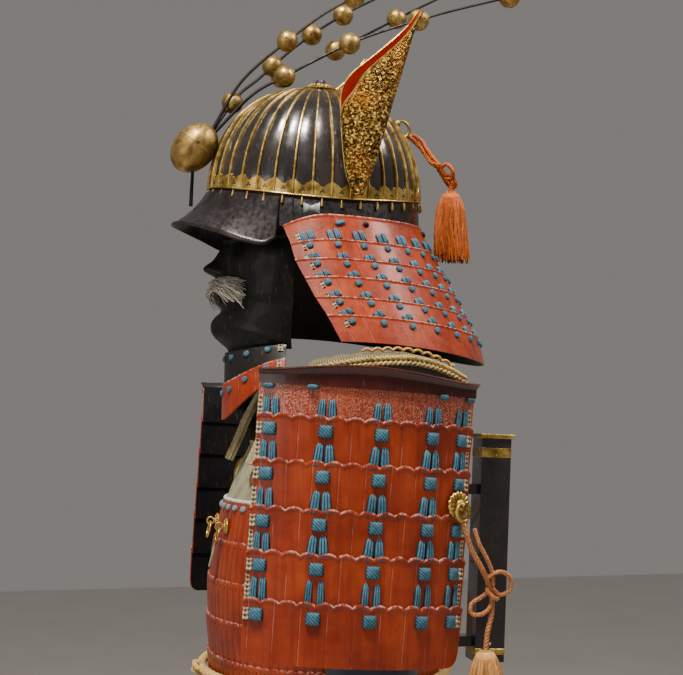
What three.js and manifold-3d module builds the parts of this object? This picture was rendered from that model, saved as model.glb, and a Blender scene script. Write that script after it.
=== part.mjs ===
// Suit of armour in its worn, hollow form: ribbed helmet with crests, mask, laced lames,
// shoulder guards, cuirass, tassets, sleeves and leg guards.
// Millimetres, +Z up, the front faces -Y and the wearer's left is +X.
// The origin is midway between the undersides of the two shoulder straps.
import * as THREE from 'three';
import { mergeGeometries, mergeVertices } from 'three/addons/utils/BufferGeometryUtils.js';
import Module from 'manifold-3d';

const wasm = await Module();
wasm.setup();

// Driving dimensions
const WALL = 2;
const THIN_WALL = 1.5;
const SEAM = 0.35;
const HELMET = { centreY: 4.5, rimZ: 199, tilt: 2.3, roll: 4, rimWave: 5.5 };
const BOWL = { halfWidth: 104, halfLength: 121.5, height: 128, crownTurn: 1.46, fullness: 0.85 };
const RIBS = 36;
const RIB_HEIGHT = 3;
const BAND = { height: 11, peak: 8, thickness: 1.4 };
const NECK = { lames: 6, lap: 0.2, tuck: 3 };
const BODY = { centreY: 16, top: -152, lame: 42, lames: 5 };
const SODE = { axisX: 82, centreY: 12, radius: 203, halfTurn: 31.5, lean: 4, top: -22 };
const TASSETS = 7;

// Point and list helpers
const point = (x, y, z) => new THREE.Vector3(x, y, z);
const radians = THREE.MathUtils.degToRad;
const mix = THREE.MathUtils.lerp;
const steps = (count, from = 0, to = 1) =>
  Array.from({ length: count + 1 }, (_, i) => mix(from, to, i / count));
const range = (count) => Array.from({ length: count }, (_, i) => i);

// Reads a value out of a table of rows, between two rows of its key column
function lookUp(table, keyName, key, name) {
  let after = table.findIndex((row) => row[keyName] > key);
  if (after < 0) after = table.length - 1;
  const low = table[Math.max(after - 1, 0)];
  const high = table[Math.max(after, 1)];
  const share = (key - low[keyName]) / (high[keyName] - low[keyName]);
  return mix(low[name], high[name], share);
}

// Outward normal and offset of a surface (u turns counter-clockwise seen from above, v runs upward)
function normalAt(surface, u, v) {
  const step = 0.001;
  const along = surface(u + step, v).sub(surface(u - step, v));
  const upward = surface(u, v + step).sub(surface(u, v - step));
  return along.cross(upward).normalize();
}
const lifted = (surface, u, v, height) =>
  surface(u, v).addScaledVector(normalAt(surface, u, v), height);

// A closed wall between an outer and an inner grid of points, each grid[row][column]
function shell(outer, inner, closed = false) {
  const rows = outer.length;
  const columns = outer[0].length;
  const positions = [];
  for (const grid of [outer, inner]) {
    for (const row of grid) {
      for (const p of row) positions.push(p.x, p.y, p.z);
    }
  }
  const out = (row, column) => row * columns + (column % columns);
  const into = (row, column) => rows * columns + out(row, column);
  const index = [];
  const quad = (a, b, c, d) => index.push(a, b, c, a, c, d);
  const spans = closed ? columns : columns - 1;
  for (let j = 0; j < spans; j++) {
    for (let i = 0; i < rows - 1; i++) {
      quad(out(i, j), out(i, j + 1), out(i + 1, j + 1), out(i + 1, j));
      quad(into(i, j), into(i + 1, j), into(i + 1, j + 1), into(i, j + 1));
    }
    quad(into(0, j), into(0, j + 1), out(0, j + 1), out(0, j));
    quad(out(rows - 1, j), out(rows - 1, j + 1), into(rows - 1, j + 1), into(rows - 1, j));
  }
  if (!closed) {
    const last = columns - 1;
    for (let i = 0; i < rows - 1; i++) {
      quad(into(i, 0), out(i, 0), out(i + 1, 0), into(i + 1, 0));
      quad(out(i, last), into(i, last), into(i + 1, last), out(i + 1, last));
    }
  }
  const geometry = new THREE.BufferGeometry();
  geometry.setAttribute('position', new THREE.Float32BufferAttribute(positions, 3));
  geometry.setIndex(index);
  return geometry;
}

// A wall on a surface; outer and inner are its heights over the surface, as numbers or functions
function panel({ surface, us, vs, outer = WALL, inner = 0, closed = false }) {
  const high = typeof outer === 'function' ? outer : () => outer;
  const low = typeof inner === 'function' ? inner : () => inner;
  const grid = (height) =>
    vs.map((v, row) => us.map((u, column) => lifted(surface, u, v, height(u, v, column, row))));
  return shell(grid(high), grid(low), closed);
}

// A round bar along a smooth line through points
function bar(points, radius, sides, count) {
  const path = new THREE.CatmullRomCurve3(points, false, 'centripetal');
  const section = new THREE.Shape(
    range(sides).map((i) => {
      const turn = (2 * Math.PI * i) / sides;
      return new THREE.Vector2(radius * Math.cos(turn), radius * Math.sin(turn));
    }),
  );
  return new THREE.ExtrudeGeometry(section, { steps: count, extrudePath: path, bevelEnabled: false });
}

// A round bar along a closed loop of points
function ring(points, radius, sides) {
  const count = points.length;
  const centre = points.reduce((sum, p) => sum.add(p), point(0, 0, 0)).divideScalar(count);
  const positions = [];
  const index = [];
  points.forEach((p, i) => {
    const heading = points[(i + 1) % count].clone().sub(points[(i + count - 1) % count]).normalize();
    const axis = heading.clone().cross(p.clone().sub(centre)).normalize();
    const side = axis.clone().cross(heading);
    for (const j of range(sides)) {
      const turn = (2 * Math.PI * j) / sides;
      const place = p.clone()
        .addScaledVector(side, radius * Math.cos(turn))
        .addScaledVector(axis, radius * Math.sin(turn));
      positions.push(place.x, place.y, place.z);
      const a = i * sides + j;
      const b = i * sides + ((j + 1) % sides);
      const c = ((i + 1) % count) * sides + ((j + 1) % sides);
      const d = ((i + 1) % count) * sides + j;
      index.push(a, b, c, a, c, d);
    }
  });
  const geometry = new THREE.BufferGeometry();
  geometry.setAttribute('position', new THREE.Float32BufferAttribute(positions, 3));
  geometry.setIndex(index);
  return geometry;
}

// Points of a circle round a centre, in the plane of two directions
function circle(centre, across, up, radius, count) {
  return range(count).map((i) => {
    const turn = (2 * Math.PI * i) / count;
    return centre.clone()
      .addScaledVector(across, radius * Math.cos(turn))
      .addScaledVector(up, radius * Math.sin(turn));
  });
}

// A turned piece from a profile of [radius, height] pairs, along an axis from a base point
function turned(profile, sides, base, axis) {
  const geometry = new THREE.LatheGeometry(profile.map(([r, h]) => new THREE.Vector2(r, h)), sides);
  const turn = new THREE.Quaternion().setFromUnitVectors(point(0, 1, 0), axis.clone().normalize());
  geometry.applyQuaternion(turn);
  geometry.translate(base.x, base.y, base.z);
  return geometry;
}

function ball(centre, radius, across = 8, high = 6) {
  const geometry = new THREE.SphereGeometry(radius, across, high);
  geometry.translate(centre.x, centre.y, centre.z);
  return geometry;
}

function block(width, depth, height, centre) {
  const geometry = new THREE.BoxGeometry(width, depth, height);
  geometry.translate(centre.x, centre.y, centre.z);
  return geometry;
}

// Joins and cuts
function toSolid(geometry) {
  const bare = geometry.clone();
  bare.deleteAttribute('normal');
  bare.deleteAttribute('uv');
  const welded = mergeVertices(bare, 1e-4);
  return new wasm.Manifold(new wasm.Mesh({
    numProp: 3,
    vertProperties: new Float32Array(welded.attributes.position.array),
    triVerts: new Uint32Array(welded.index.array),
  }));
}
function fromSolid(solid) {
  const mesh = solid.getMesh();
  const geometry = new THREE.BufferGeometry();
  geometry.setAttribute('position', new THREE.BufferAttribute(mesh.vertProperties, 3));
  geometry.setIndex(new THREE.BufferAttribute(mesh.triVerts, 1));
  return geometry;
}
const fuse = (...pieces) => fromSolid(pieces.map(toSolid).reduce((whole, piece) => whole.add(piece)));
const mirrored = (geometry) => {
  const copy = geometry.clone();
  copy.scale(-1, 1, 1);
  const solid = mergeVertices(copy.index ? copy : mergeGeometries([copy]));
  const order = solid.index.array;
  for (let i = 0; i < order.length; i += 3) {
    [order[i + 1], order[i + 2]] = [order[i + 2], order[i + 1]];
  }
  return solid;
};

// Materials
const paint = (color, roughness, metalness) =>
  new THREE.MeshStandardMaterial({ color, roughness, metalness });
const materials = {
  blackLacquer: paint(0x17171a, 0.25, 0.2),
  gold: paint(0xb98f3a, 0.35, 1),
  iron: paint(0x3c3735, 0.45, 0.8),
  redLacquer: paint(0xa83c23, 0.4, 0),
  darkRedLacquer: paint(0x52201c, 0.35, 0),
  brocade: paint(0x6a6148, 0.85, 0),
  patternedLeather: paint(0x8d8a63, 0.8, 0),
  orangeSilk: paint(0xc85f23, 0.8, 0),
  paleSilk: paint(0xd7965f, 0.8, 0),
  yellowSilk: paint(0xc79a45, 0.8, 0),
  indigoCloth: paint(0x22293a, 0.9, 0),
};

const armour = new THREE.Group();
function add(name, geometry, material) {
  const mesh = new THREE.Mesh(geometry, material);
  mesh.name = name;
  armour.add(mesh);
  return mesh;
}

// Helmet, built in its own frame: origin at the rim's centre, then tipped and set on the head
const helmetPlace = new THREE.Matrix4()
  .makeTranslation(0, HELMET.centreY, HELMET.rimZ)
  .multiply(new THREE.Matrix4().makeRotationX(-radians(HELMET.tilt)))
  .multiply(new THREE.Matrix4().makeRotationY(radians(HELMET.roll)));
function addHelmet(name, geometry, material) {
  geometry.applyMatrix4(helmetPlace);
  return add(name, geometry, material);
}
const bowlTurns = range(RIBS * 2).map((i) => i / (RIBS * 2));
const rimLift = (turn) => -HELMET.rimWave * Math.cos(2 * turn);
function bowl(u, v) {
  const turn = 2 * Math.PI * u;
  const rise = v * BOWL.crownTurn;
  const reach = Math.cos(rise) ** BOWL.fullness;
  return point(
    BOWL.halfWidth * reach * Math.cos(turn),
    BOWL.halfLength * reach * Math.sin(turn),
    BOWL.height * Math.sin(rise) + rimLift(turn) * (1 - v),
  );
}
const bowlFace = (v, column) => WALL + (column % 2 === 0 ? mix(RIB_HEIGHT, 1, v) : 0);

// Ribbed bowl with the cord ring on its rear
{
  const wall = panel({
    surface: bowl,
    us: bowlTurns,
    vs: [0, 0.18, 0.45, 0.74, 1],
    outer: (u, v, column) => bowlFace(v, column),
    closed: true,
  });
  const eye = bowl(0.25, 0.56);
  const stud = turned([[0, 0], [3, 0], [3, 12], [0, 12]], 6, eye, point(0, 1, 0.5));
  const ringCentre = point(0, eye.y + 13, eye.z - 2.1);
  const cordRing = ring(circle(ringCentre, point(0, 1, 0), point(0, 0, 1), 10, 12), 1.8, 5);
  addHelmet('helmet_bowl', fuse(wall, stud, cordRing), materials.blackLacquer);
}

// Gold band round the foot of the bowl, with a point at each rib
{
  const riseOf = (height) => Math.asin(height / BOWL.height) / BOWL.crownTurn;
  const bandSurface = (u, v) => {
    const share = Math.abs(((u * RIBS) % 1 + 1) % 1 - 0.5) * 2;
    return bowl(u, v * riseOf(BAND.height + BAND.peak * share));
  };
  addHelmet('helmet_band', panel({
    surface: bandSurface,
    us: bowlTurns,
    vs: [0, 1],
    outer: (u, v, column) => bowlFace(0, column) + SEAM + BAND.thickness,
    inner: (u, v, column) => bowlFace(0, column) + SEAM,
    closed: true,
  }), materials.gold);
}

// Iron band below the bowl, shallow over the brow and deep at the sides and back
const BASE_FLARE = { depth: 25, side: 6.6, long: 2.4 };
function baseDepth(turn) {
  const forward = -Math.sin(turn);
  const temple = 8 * Math.exp(-(((forward - 0.38) / 0.12) ** 2));
  return mix(33, 15, THREE.MathUtils.smoothstep(forward, 0.5, 0.62)) + temple;
}
function baseSurface(u, v) {
  const turn = 2 * Math.PI * u;
  const down = mix(baseDepth(turn), 3 * SEAM, v);
  const share = Math.min(down / BASE_FLARE.depth, 1);
  return point(
    (BOWL.halfWidth + share * BASE_FLARE.side) * Math.cos(turn),
    (BOWL.halfLength + share * BASE_FLARE.long) * Math.sin(turn),
    rimLift(turn) * v - down,
  );
}
addHelmet('helmet_base', panel({
  surface: baseSurface,
  us: range(40).map((i) => i / 40),
  vs: [0, 1],
  closed: true,
}), materials.iron);

// Crown fitting over the open top
addHelmet('crown_fitting', turned(
  [[0, 0], [21, 0], [21, 2], [17, 4], [13, 6], [10, 6.5], [9, 10], [5, 12], [0, 12.5]],
  12, point(0, 0, BOWL.height + 2.6), point(0, 0, 1),
), materials.gold);

// Visor: a flared brim with a raised lower edge
{
  const half = [
    { x: 106, y: -59, z: -55 },
    { x: 104, y: -71, z: -63 },
    { x: 98, y: -93, z: -61 },
    { x: 80, y: -122, z: -51 },
    { x: 45, y: -153, z: -42 },
  ];
  const lowerEdge = new THREE.CatmullRomCurve3([
    ...half.map(({ x, y, z }) => point(-x, y, z)),
    point(0, -165, -41),
    ...half.toReversed().map(({ x, y, z }) => point(x, y, z)),
  ], false, 'centripetal');
  const visor = (u, v) => {
    const turn = radians(mix(-154, -26, u));
    const root = point(
      (BOWL.halfWidth + 3.4) * Math.cos(turn),
      (BOWL.halfLength + 3.4) * Math.sin(turn),
      rimLift(turn) - 4,
    );
    const lip = lowerEdge.getPointAt(THREE.MathUtils.clamp(u, 0, 1));
    const sweep = lip.lerp(root, v);
    const hollow = 6 * Math.sin(Math.PI * v) * Math.max(Math.sin(turn) ** 2 - 0.3, 0);
    return sweep.add(point(-hollow * Math.cos(turn), -hollow * Math.sin(turn), -0.3 * hollow));
  };
  addHelmet('visor', panel({
    surface: visor,
    us: steps(16, 0.002, 0.998),
    vs: [0.01, 0.07, 0.35, 0.68, 0.99],
    outer: (u, v) => (v < 0.2 ? WALL + 1 : WALL),
  }), materials.iron);
}

// Front crest: a gold ball on a prong, with four whisker rods carrying gold beads
{
  const centre = point(0, -143.9, 51.5);
  const egg = new THREE.SphereGeometry(1, 10, 7);
  egg.scale(24, 24, 32);
  egg.rotateX(-radians(38));
  egg.translate(centre.x, centre.y, centre.z);
  const prong = block(9, 4, 43, point(0, -144.5, 5.2));
  const rods = [
    { beads: [0.6, 1], route: [[2, -127, 69], [1, -97, 128], [3, -79, 150], [6, -53, 175], [9, -1, 220],
      [12, 33, 242]] },
    { beads: [0.15, 0.36, 0.56, 0.72, 1], route: [[-5, -127, 68], [-12, -93, 121], [-19, -73, 140],
      [-27, -33, 181], [-33, -1, 209], [-39, 37, 237], [-49, 108, 280]] },
    { beads: [0.3, 0.5, 0.74, 1], route: [[-7, -126, 66], [-20, -75, 125], [-34, -46, 146], [-46, -16, 166],
      [-56, 43, 203], [-76, 129, 258], [-87, 198, 299]] },
    { beads: [0.29, 0.5, 0.72, 1], route: [[3, -126, 66], [9, -78, 120], [18, -41, 143], [23, -6, 165],
      [29, 38, 189], [43, 124, 223], [53, 210, 251]] },
  ];
  const pieces = rods.flatMap(({ beads, route }) => {
    const points = route.map(([x, y, z]) => point(x, y, z));
    const curve = new THREE.CatmullRomCurve3(points, false, 'centripetal');
    return [bar(points, 1.6, 5, 8), ...beads.map((share) => ball(curve.getPointAt(share), 12.5, 7, 4))];
  });
  addHelmet('front_crest', fuse(egg, prong, ...pieces), materials.gold);
}

// Ear crests: hollow pointed leaves; a slit at the front of the foot widens into the open upper part
{
  const sections = [
    { rise: 0, x: 112.6, y: 28, z: -2, across: 4, deep: 4, near: -90 },
    { rise: 0.12, x: 115.8, y: 27, z: 25, across: 7, deep: 14, near: -92 },
    { rise: 0.38, x: 121, y: 29, z: 80, across: 13, deep: 25, near: -90 },
    { rise: 0.52, x: 122, y: 31, z: 107, across: 15, deep: 29, near: -40 },
    { rise: 0.64, x: 124, y: 38, z: 128, across: 15, deep: 27, near: -31 },
    { rise: 0.76, x: 127, y: 53, z: 151, across: 11, deep: 17, near: -22 },
    { rise: 0.9, x: 130, y: 72, z: 181, across: 5, deep: 5, near: 6 },
    { rise: 1, x: 133, y: 84, z: 204, across: 1.6, deep: 1.6, near: 20 },
  ];
  const FAR_EDGE = 255;
  const ear = (u, v) => {
    const at = (name) => lookUp(sections, 'rise', v, name);
    const turn = radians(mix(at('near'), FAR_EDGE, u));
    return point(at('x') + at('across') * Math.cos(turn), at('y') + at('deep') * Math.sin(turn), at('z'));
  };
  const leaf = panel({
    surface: ear,
    us: steps(10),
    vs: [0.005, ...sections.slice(1, -1).map((row) => row.rise), 0.995],
    outer: 1.2,
  });
  const other = mirrored(leaf);
  addHelmet('ear_left', leaf, materials.gold);
  addHelmet('ear_right', other, materials.gold);
}

// A tassel: a turned head with strands that stand apart below it
function tassel(top, headRadius, spread, length, sway = point(0, 0, 0)) {
  const down = point(0, 0, -1);
  const head = turned(
    [[0, 0], [headRadius * 0.5, 0], [headRadius, 6], [headRadius, 15], [headRadius * 0.85, 19], [0, 19]],
    8, top, down,
  );
  const strands = [{ ring: 0.82, count: 10 }, { ring: 0.33, count: 3 }].flatMap(({ ring, count }) =>
    range(count).map((i) => {
      const turn = (2 * Math.PI * i) / count;
      const reach = (radius, drop) =>
        point(radius * Math.cos(turn), radius * Math.sin(turn), -drop).add(top);
      return bar([
        reach(headRadius * ring * 0.8, 16),
        reach(spread * ring, 16 + (length - 16) * 0.5),
        reach(spread * ring, length).add(sway),
      ], headRadius * 0.17, 3, 2);
    }));
  return fuse(head, ...strands);
}

// Rear cord of the helmet with its knot loops, and the tassel on its end
const HELMET_CORD = [[0, 111, 86.7], [3, 124, 76], [8, 131, 66], [14, 137, 56], [20, 147, 48], [19, 153, 38],
  [21, 160.5, 30], [21, 161, 21.4]];
addHelmet('helmet_cord', bar(HELMET_CORD.map(([x, y, z]) => point(x, y, z)), 3.5, 8, 14), materials.orangeSilk);
addHelmet('helmet_tassel', tassel(point(21, 161, 21), 12, 19, 84, point(2, 5, 0)), materials.orangeSilk);

// Neck guard: each lame hangs from the one above and laps outside it
{
  const levels = [
    { level: 0, side: 110.5, back: 123.5, centre: 0, front: -24, z: -25, zBack: -1, zFront: -18 },
    { level: 1, side: 125, back: 136, centre: 4, front: -20.5, z: -53, zBack: -2, zFront: -12 },
    { level: 2, side: 137, back: 148, centre: 8, front: -19, z: -74, zBack: -6, zFront: -8 },
    { level: 3, side: 149, back: 158, centre: 12, front: -16, z: -94, zBack: -10, zFront: -8 },
    { level: 4, side: 162, back: 168, centre: 16, front: -13, z: -116, zBack: -13, zFront: -7 },
    { level: 5, side: 174, back: 178, centre: 20, front: -10, z: -135, zBack: -17, zFront: -7 },
    { level: 6, side: 190, back: 184, centre: 25, front: -7, z: -163, zBack: -21, zFront: -7 },
  ];
  for (const lame of range(NECK.lames)) {
    const surface = (u, v) => {
      const level = mix(lame + 1 + (lame < NECK.lames - 1 ? NECK.lap : 0), lame, v);
      const at = (name) => lookUp(levels, 'level', level, name);
      const turn = radians(mix(at('front'), 180 - at('front'), u));
      const outside = NECK.tuck * v;
      const sine = Math.sin(turn);
      const dip = sine > 0 ? at('zBack') * sine * sine : at('zFront') * (sine / Math.sin(radians(26))) ** 2;
      return point((at('side') + outside) * Math.cos(turn), at('centre') + (at('back') + outside) * sine,
        at('z') + dip);
    };
    addHelmet(`neck_lame_${lame + 1}`, panel({
      surface,
      us: steps(18),
      vs: [0, 1],
      outer: THIN_WALL,
    }), materials.redLacquer);
  }
}

// Face mask of plain, calm proportions with a moustache standing out over the lip
{
  const sections = [
    { z: 22, front: -92, side: 58 },
    { z: 40, front: -108, side: 66 },
    { z: 58, front: -107, side: 71 },
    { z: 72, front: -102, side: 74 },
    { z: 84, front: -104, side: 76 },
    { z: 98, front: -103, side: 77 },
    { z: 112, front: -102, side: 77 },
    { z: 130, front: -98, side: 77 },
    { z: 148, front: -93, side: 76 },
  ];
  const CENTRE_Y = -22;
  const mask = (u, v) => {
    const z = mix(22, 148, v);
    const at = (name) => lookUp(sections, 'z', z, name);
    const turn = radians(mix(-172, -8, u));
    return point(at('side') * Math.cos(turn), CENTRE_Y + (CENTRE_Y - at('front')) * Math.sin(turn), z);
  };
  const hump = (value, middle, width) => Math.exp(-(((value - middle) / width) ** 2));
  const relief = (u, v) => {
    const across = Math.abs(mix(-82, 82, u));
    const z = mix(22, 148, v);
    const nose = 20 * hump(across, 0, 9) * hump(z, 114, 13);
    const moustache = 11 * hump(z, 97, 7) * hump(across, 14, 20);
    return WALL + nose + moustache;
  };
  add('mask', panel({
    surface: mask,
    us: [0, 0.14, 0.26, 0.35, 0.42, 0.47, 0.5, 0.53, 0.58, 0.65, 0.74, 0.86, 1],
    vs: sections.map(({ z }) => (z - 22) / 126),
    outer: relief,
  }), materials.blackLacquer);
}

// Stepped wall of lames in one piece: plain inside, each lame's head proud of the one above
function stepped(heads, foot, rise) {
  const rows = [];
  heads.forEach((head, i) => {
    const next = i + 1 < heads.length ? heads[i + 1] : foot;
    rows.push({ z: head, out: rise });
    rows.push({ z: i + 1 < heads.length ? next + 0.5 : next, out: 0.6 });
  });
  return rows.reverse();
}

// Throat guard under the mask: two laced lames in one curve, the lower one deeper at the front
{
  const THROAT = { depth: 77, lower: 42 };
  const rows = stepped([THROAT.depth, THROAT.lower], 0, 2.4).map(({ z, out }) => ({ v: z / THROAT.depth, out }));
  const throat = (u, v) => {
    const turn = radians(mix(-166, -14, u));
    const front = Math.max(-Math.sin(turn), 0) ** 2;
    return point(
      mix(82, 63, v) * Math.cos(turn),
      mix(-24, -20, v) + mix(77, 76, v) * Math.sin(turn),
      mix(mix(-6, -58, front), mix(24.6, 19, front), v),
    );
  };
  add('throat_guard', panel({
    surface: throat,
    us: steps(12),
    vs: rows.map((row) => row.v),
    outer: (u, v, column, row) => THIN_WALL + rows[row].out,
  }), materials.redLacquer);
}

// Cuirass: plan sections of the trunk, used by the body walls and what hangs on them
const trunk = [
  { z: -380, side: 164, front: -113, back: 142 },
  { z: -340, side: 160, front: -111, back: 142 },
  { z: -290, side: 163, front: -113, back: 146 },
  { z: -240, side: 166, front: -112, back: 150 },
  { z: -195, side: 163, front: -105, back: 152 },
  { z: -150, side: 156, front: -93, back: 150 },
  { z: -80, side: 150, front: -62, back: 140 },
  { z: -40, side: 146, front: -42, back: 118 },
];
function trunkPoint(degrees, z, out = 0) {
  const at = (name) => lookUp(trunk, 'z', z, name);
  const turn = radians(degrees);
  const sine = Math.sin(turn);
  const reach = sine < 0 ? BODY.centreY - at('front') : at('back') - BODY.centreY;
  return point((at('side') + out) * Math.cos(turn), BODY.centreY + (reach + out) * sine, z);
}
const BODY_FOOT = BODY.top - BODY.lame * BODY.lames;
const lameHeads = range(BODY.lames).map((i) => BODY.top - BODY.lame * i);
const ARMHOLE_DROP = 58;
function bodyWall(from, to, top) {
  const rows = stepped(lameHeads, BODY_FOOT, 3.2);
  const surface = (u, v) => {
    const degrees = mix(from, to, u);
    const sideways = THREE.MathUtils.smoothstep(Math.abs(Math.cos(radians(degrees))), 0.74, 0.98);
    const z = mix(BODY_FOOT, top, v);
    const upper = THREE.MathUtils.smoothstep(z, BODY_FOOT + 3 * BODY.lame, top);
    return trunkPoint(degrees, z - upper * sideways * ARMHOLE_DROP);
  };
  return panel({
    surface,
    us: steps(14),
    vs: rows.map(({ z }) => (z - BODY_FOOT) / (top - BODY_FOOT)),
    outer: (u, v, column, row) => WALL + rows[row].out,
  });
}
add('body_front', bodyWall(-179.8, -0.2, BODY.top), materials.redLacquer);
add('body_back', bodyWall(0.2, 179.8, BODY.top), materials.redLacquer);

// Chest plate above the front lames, and the yoke: back board with both shoulder straps
const CHEST_TOP = -84;
add('chest_plate', panel({
  surface: (u, v) => trunkPoint(mix(-131, -49, u), mix(BODY.top + 1, CHEST_TOP, v)),
  us: steps(12),
  vs: [0, 0.5, 1],
  outer: WALL,
}), materials.patternedLeather);
const STRAP = { inner: 72, outer: 114, thickness: 4 };
{
  const board = panel({
    surface: (u, v) => trunkPoint(mix(40, 140, u), mix(BODY.top + 1, -50, v)),
    us: steps(12),
    vs: [0, 0.5, 1],
    outer: WALL,
  });
  const line = new THREE.CatmullRomCurve3([
    point(0, -82, -110), point(0, -70, -84), point(0, -55, -50), point(0, -30, -15), point(0, 5, -1.6),
    point(0, 45, -1.6), point(0, 80, -13), point(0, 102, -42), point(0, 118, -66),
  ], false, 'centripetal');
  const strap = (inner, outer) => panel({
    surface: (u, v) => {
      const place = line.getPoint(THREE.MathUtils.clamp(1 - u, 0, 1));
      return point(mix(inner, outer, v), place.y, place.z);
    },
    us: steps(11, 0.01, 0.99),
    vs: [0, 1],
    outer: STRAP.thickness,
  });
  add('shoulder_yoke', fuse(board, strap(STRAP.inner, STRAP.outer), strap(-STRAP.outer, -STRAP.inner)),
    materials.patternedLeather);
}

// Padded shoulder wings from the straps out to the shoulder guards, turned down at the outer edge
{
  const wing = (u, v) => {
    const turn = radians(mix(-19, 28, u));
    const rim = point(SODE.axisX + (SODE.radius - 4.3) * Math.cos(turn),
      SODE.centreY + (SODE.radius - 4.3) * Math.sin(turn), 0);
    const root = point(STRAP.outer + 0.5, mix(-10, 56, u), 0);
    const sections = [
      { v: 0, share: 0, z: -19 },
      { v: 0.3, share: 0.02, z: 1 },
      { v: 0.5, share: 0.22, z: 4 },
      { v: 0.75, share: 0.6, z: 4 },
      { v: 1, share: 1, z: 1 },
    ];
    const share = lookUp(sections, 'v', v, 'share');
    const away = rim.y - 39;
    const arch = (away < 0 ? 13 * (away / 92) ** 2 : 32 * (away / 85) ** 2) * (1 - share);
    const place = rim.lerp(root, share);
    place.z = lookUp(sections, 'v', v, 'z') - arch;
    return place;
  };
  const left = panel({ surface: wing, us: steps(8), vs: [0, 0.3, 0.5, 0.75, 1], outer: 5 });
  const right = mirrored(left);
  add('shoulder_wing_left', left, materials.brocade);
  add('shoulder_wing_right', right, materials.brocade);
}

// Waist cord knotted at the front
{
  const CORD_Z = -338;
  const lift = WALL + 4.6 + 6;
  const loop = range(24).map((i) => trunkPoint(15 * i, CORD_Z, lift));
  const knot = trunkPoint(-90, CORD_Z, lift + 3.5);
  add('waist_cord', fuse(ring(loop, 5.5, 6), ball(knot, 9, 7, 5)), materials.yellowSilk);
}

// Tassets: seven hanging groups of five lames round the waist
const TASSET = { head: BODY_FOOT + 9, lame: 43, lames: 5, gap: 1.6, flare: 0.2, clear: 3.15 };
{
  const foot = TASSET.head - TASSET.lame * TASSET.lames;
  const heads = range(TASSET.lames).map((i) => TASSET.head - TASSET.lame * i);
  const rows = stepped(heads, foot, 3);
  for (const group of range(TASSETS)) {
    const middle = -90 + (360 / TASSETS) * group;
    const half = 180 / TASSETS - TASSET.gap;
    add(`tasset_${group + 1}`, panel({
      surface: (u, v) => {
        const z = mix(foot, TASSET.head, v);
        const out = WALL + TASSET.clear + (TASSET.head - z) * TASSET.flare;
        const place = trunkPoint(mix(middle - half, middle + half, u), BODY_FOOT, out);
        place.z = z;
        return place;
      },
      us: steps(3),
      vs: rows.map(({ z }) => (z - foot) / (TASSET.head - foot)),
      outer: (u, v, column, row) => THIN_WALL + rows[row].out,
    }), materials.redLacquer);
  }
}

// Shoulder guards: a top plate and six lames on one arc, leaning forward a little
{
  const lean = new THREE.Matrix4().makeRotationX(-radians(SODE.lean));
  const heads = [0, 37, 80, 125, 166.5, 212.5, 270];
  const SCALLOPS = 13;
  const LAP = 8;
  const arc = (u, z, out) => {
    const turn = radians(mix(-SODE.halfTurn, SODE.halfTurn, u));
    return point(
      SODE.axisX + (SODE.radius + out) * Math.cos(turn),
      SODE.centreY + (SODE.radius + out) * Math.sin(turn),
      SODE.top - z,
    ).applyMatrix4(lean);
  };
  const lameWall = (i) => {
    const last = i === 5;
    const foot = heads[i + 1] + (last ? 0 : LAP);
    const corner = (u) => (last ? 12 * Math.max(Math.abs(u - 0.5) - 0.46, 0) / 0.04 : 0);
    const scallop = (u) => (i === 0 ? 0 : 3.5 * Math.abs(Math.sin(Math.PI * SCALLOPS * u)));
    return panel({
      surface: (u, v) => arc(u, mix(foot - corner(u), heads[i] - scallop(u), v), 2.8 * v),
      us: steps(i === 0 ? SCALLOPS : SCALLOPS * 2),
      vs: [0, 1],
      outer: THIN_WALL,
    });
  };
  const topPlate = panel({
    surface: (u, v) => {
      const rise = mix(-7, 8 + 10 * Math.sin(Math.PI * u) ** 2 * (1 - 0.4 * u), v);
      return arc(u, -rise, 4.7 + 5 * Math.max(v - 0.6, 0) / 0.4);
    },
    us: steps(12),
    vs: [0.02, 0.6, 0.98],
    outer: THIN_WALL,
  });
  const fittingAt = arc(0.93, 112, 5.5);
  const away = point(Math.cos(radians(27)), Math.sin(radians(27)), 0);
  const rosette = turned([[0, -4.5], [5, -4.5], [5, -0.3], [14, 0], [14, 2], [8, 4.5], [5, 9], [0, 10]], 9,
    fittingAt, away);
  const ringCentre = fittingAt.clone().addScaledVector(away, 7).add(point(0, 0, -7));
  const cordRing = ring(circle(ringCentre, point(-away.y, away.x, 0), point(0, 0, 1), 8.5, 12), 1.8, 5);
  const cordStart = ringCentre.clone().add(point(0, 0, -10.7));
  const cordRoute = [
    cordStart, point(272, 110, -185), point(270, 122, -206), point(264, 132, -226), point(262, 133, -246),
    point(261, 129, -264), point(260, 127, -283),
  ];
  const guard = {
    top_plate: { geometry: topPlate, material: materials.darkRedLacquer },
    cord: { geometry: bar(cordRoute, 3, 8, 14), material: materials.paleSilk },
    tassel: { geometry: tassel(point(260, 127, -283.6), 11, 19, 86), material: materials.paleSilk },
  };
  for (const i of range(6)) {
    const wall = lameWall(i);
    guard[`lame_${i + 1}`] = {
      geometry: i === 2 ? fuse(wall, rosette, cordRing) : wall,
      material: materials.redLacquer,
    };
  }
  for (const [name, { geometry, material }] of Object.entries(guard)) {
    const other = mirrored(geometry);
    add(`left_guard_${name}`, geometry, material);
    add(`right_guard_${name}`, other, material);
  }
}

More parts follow.
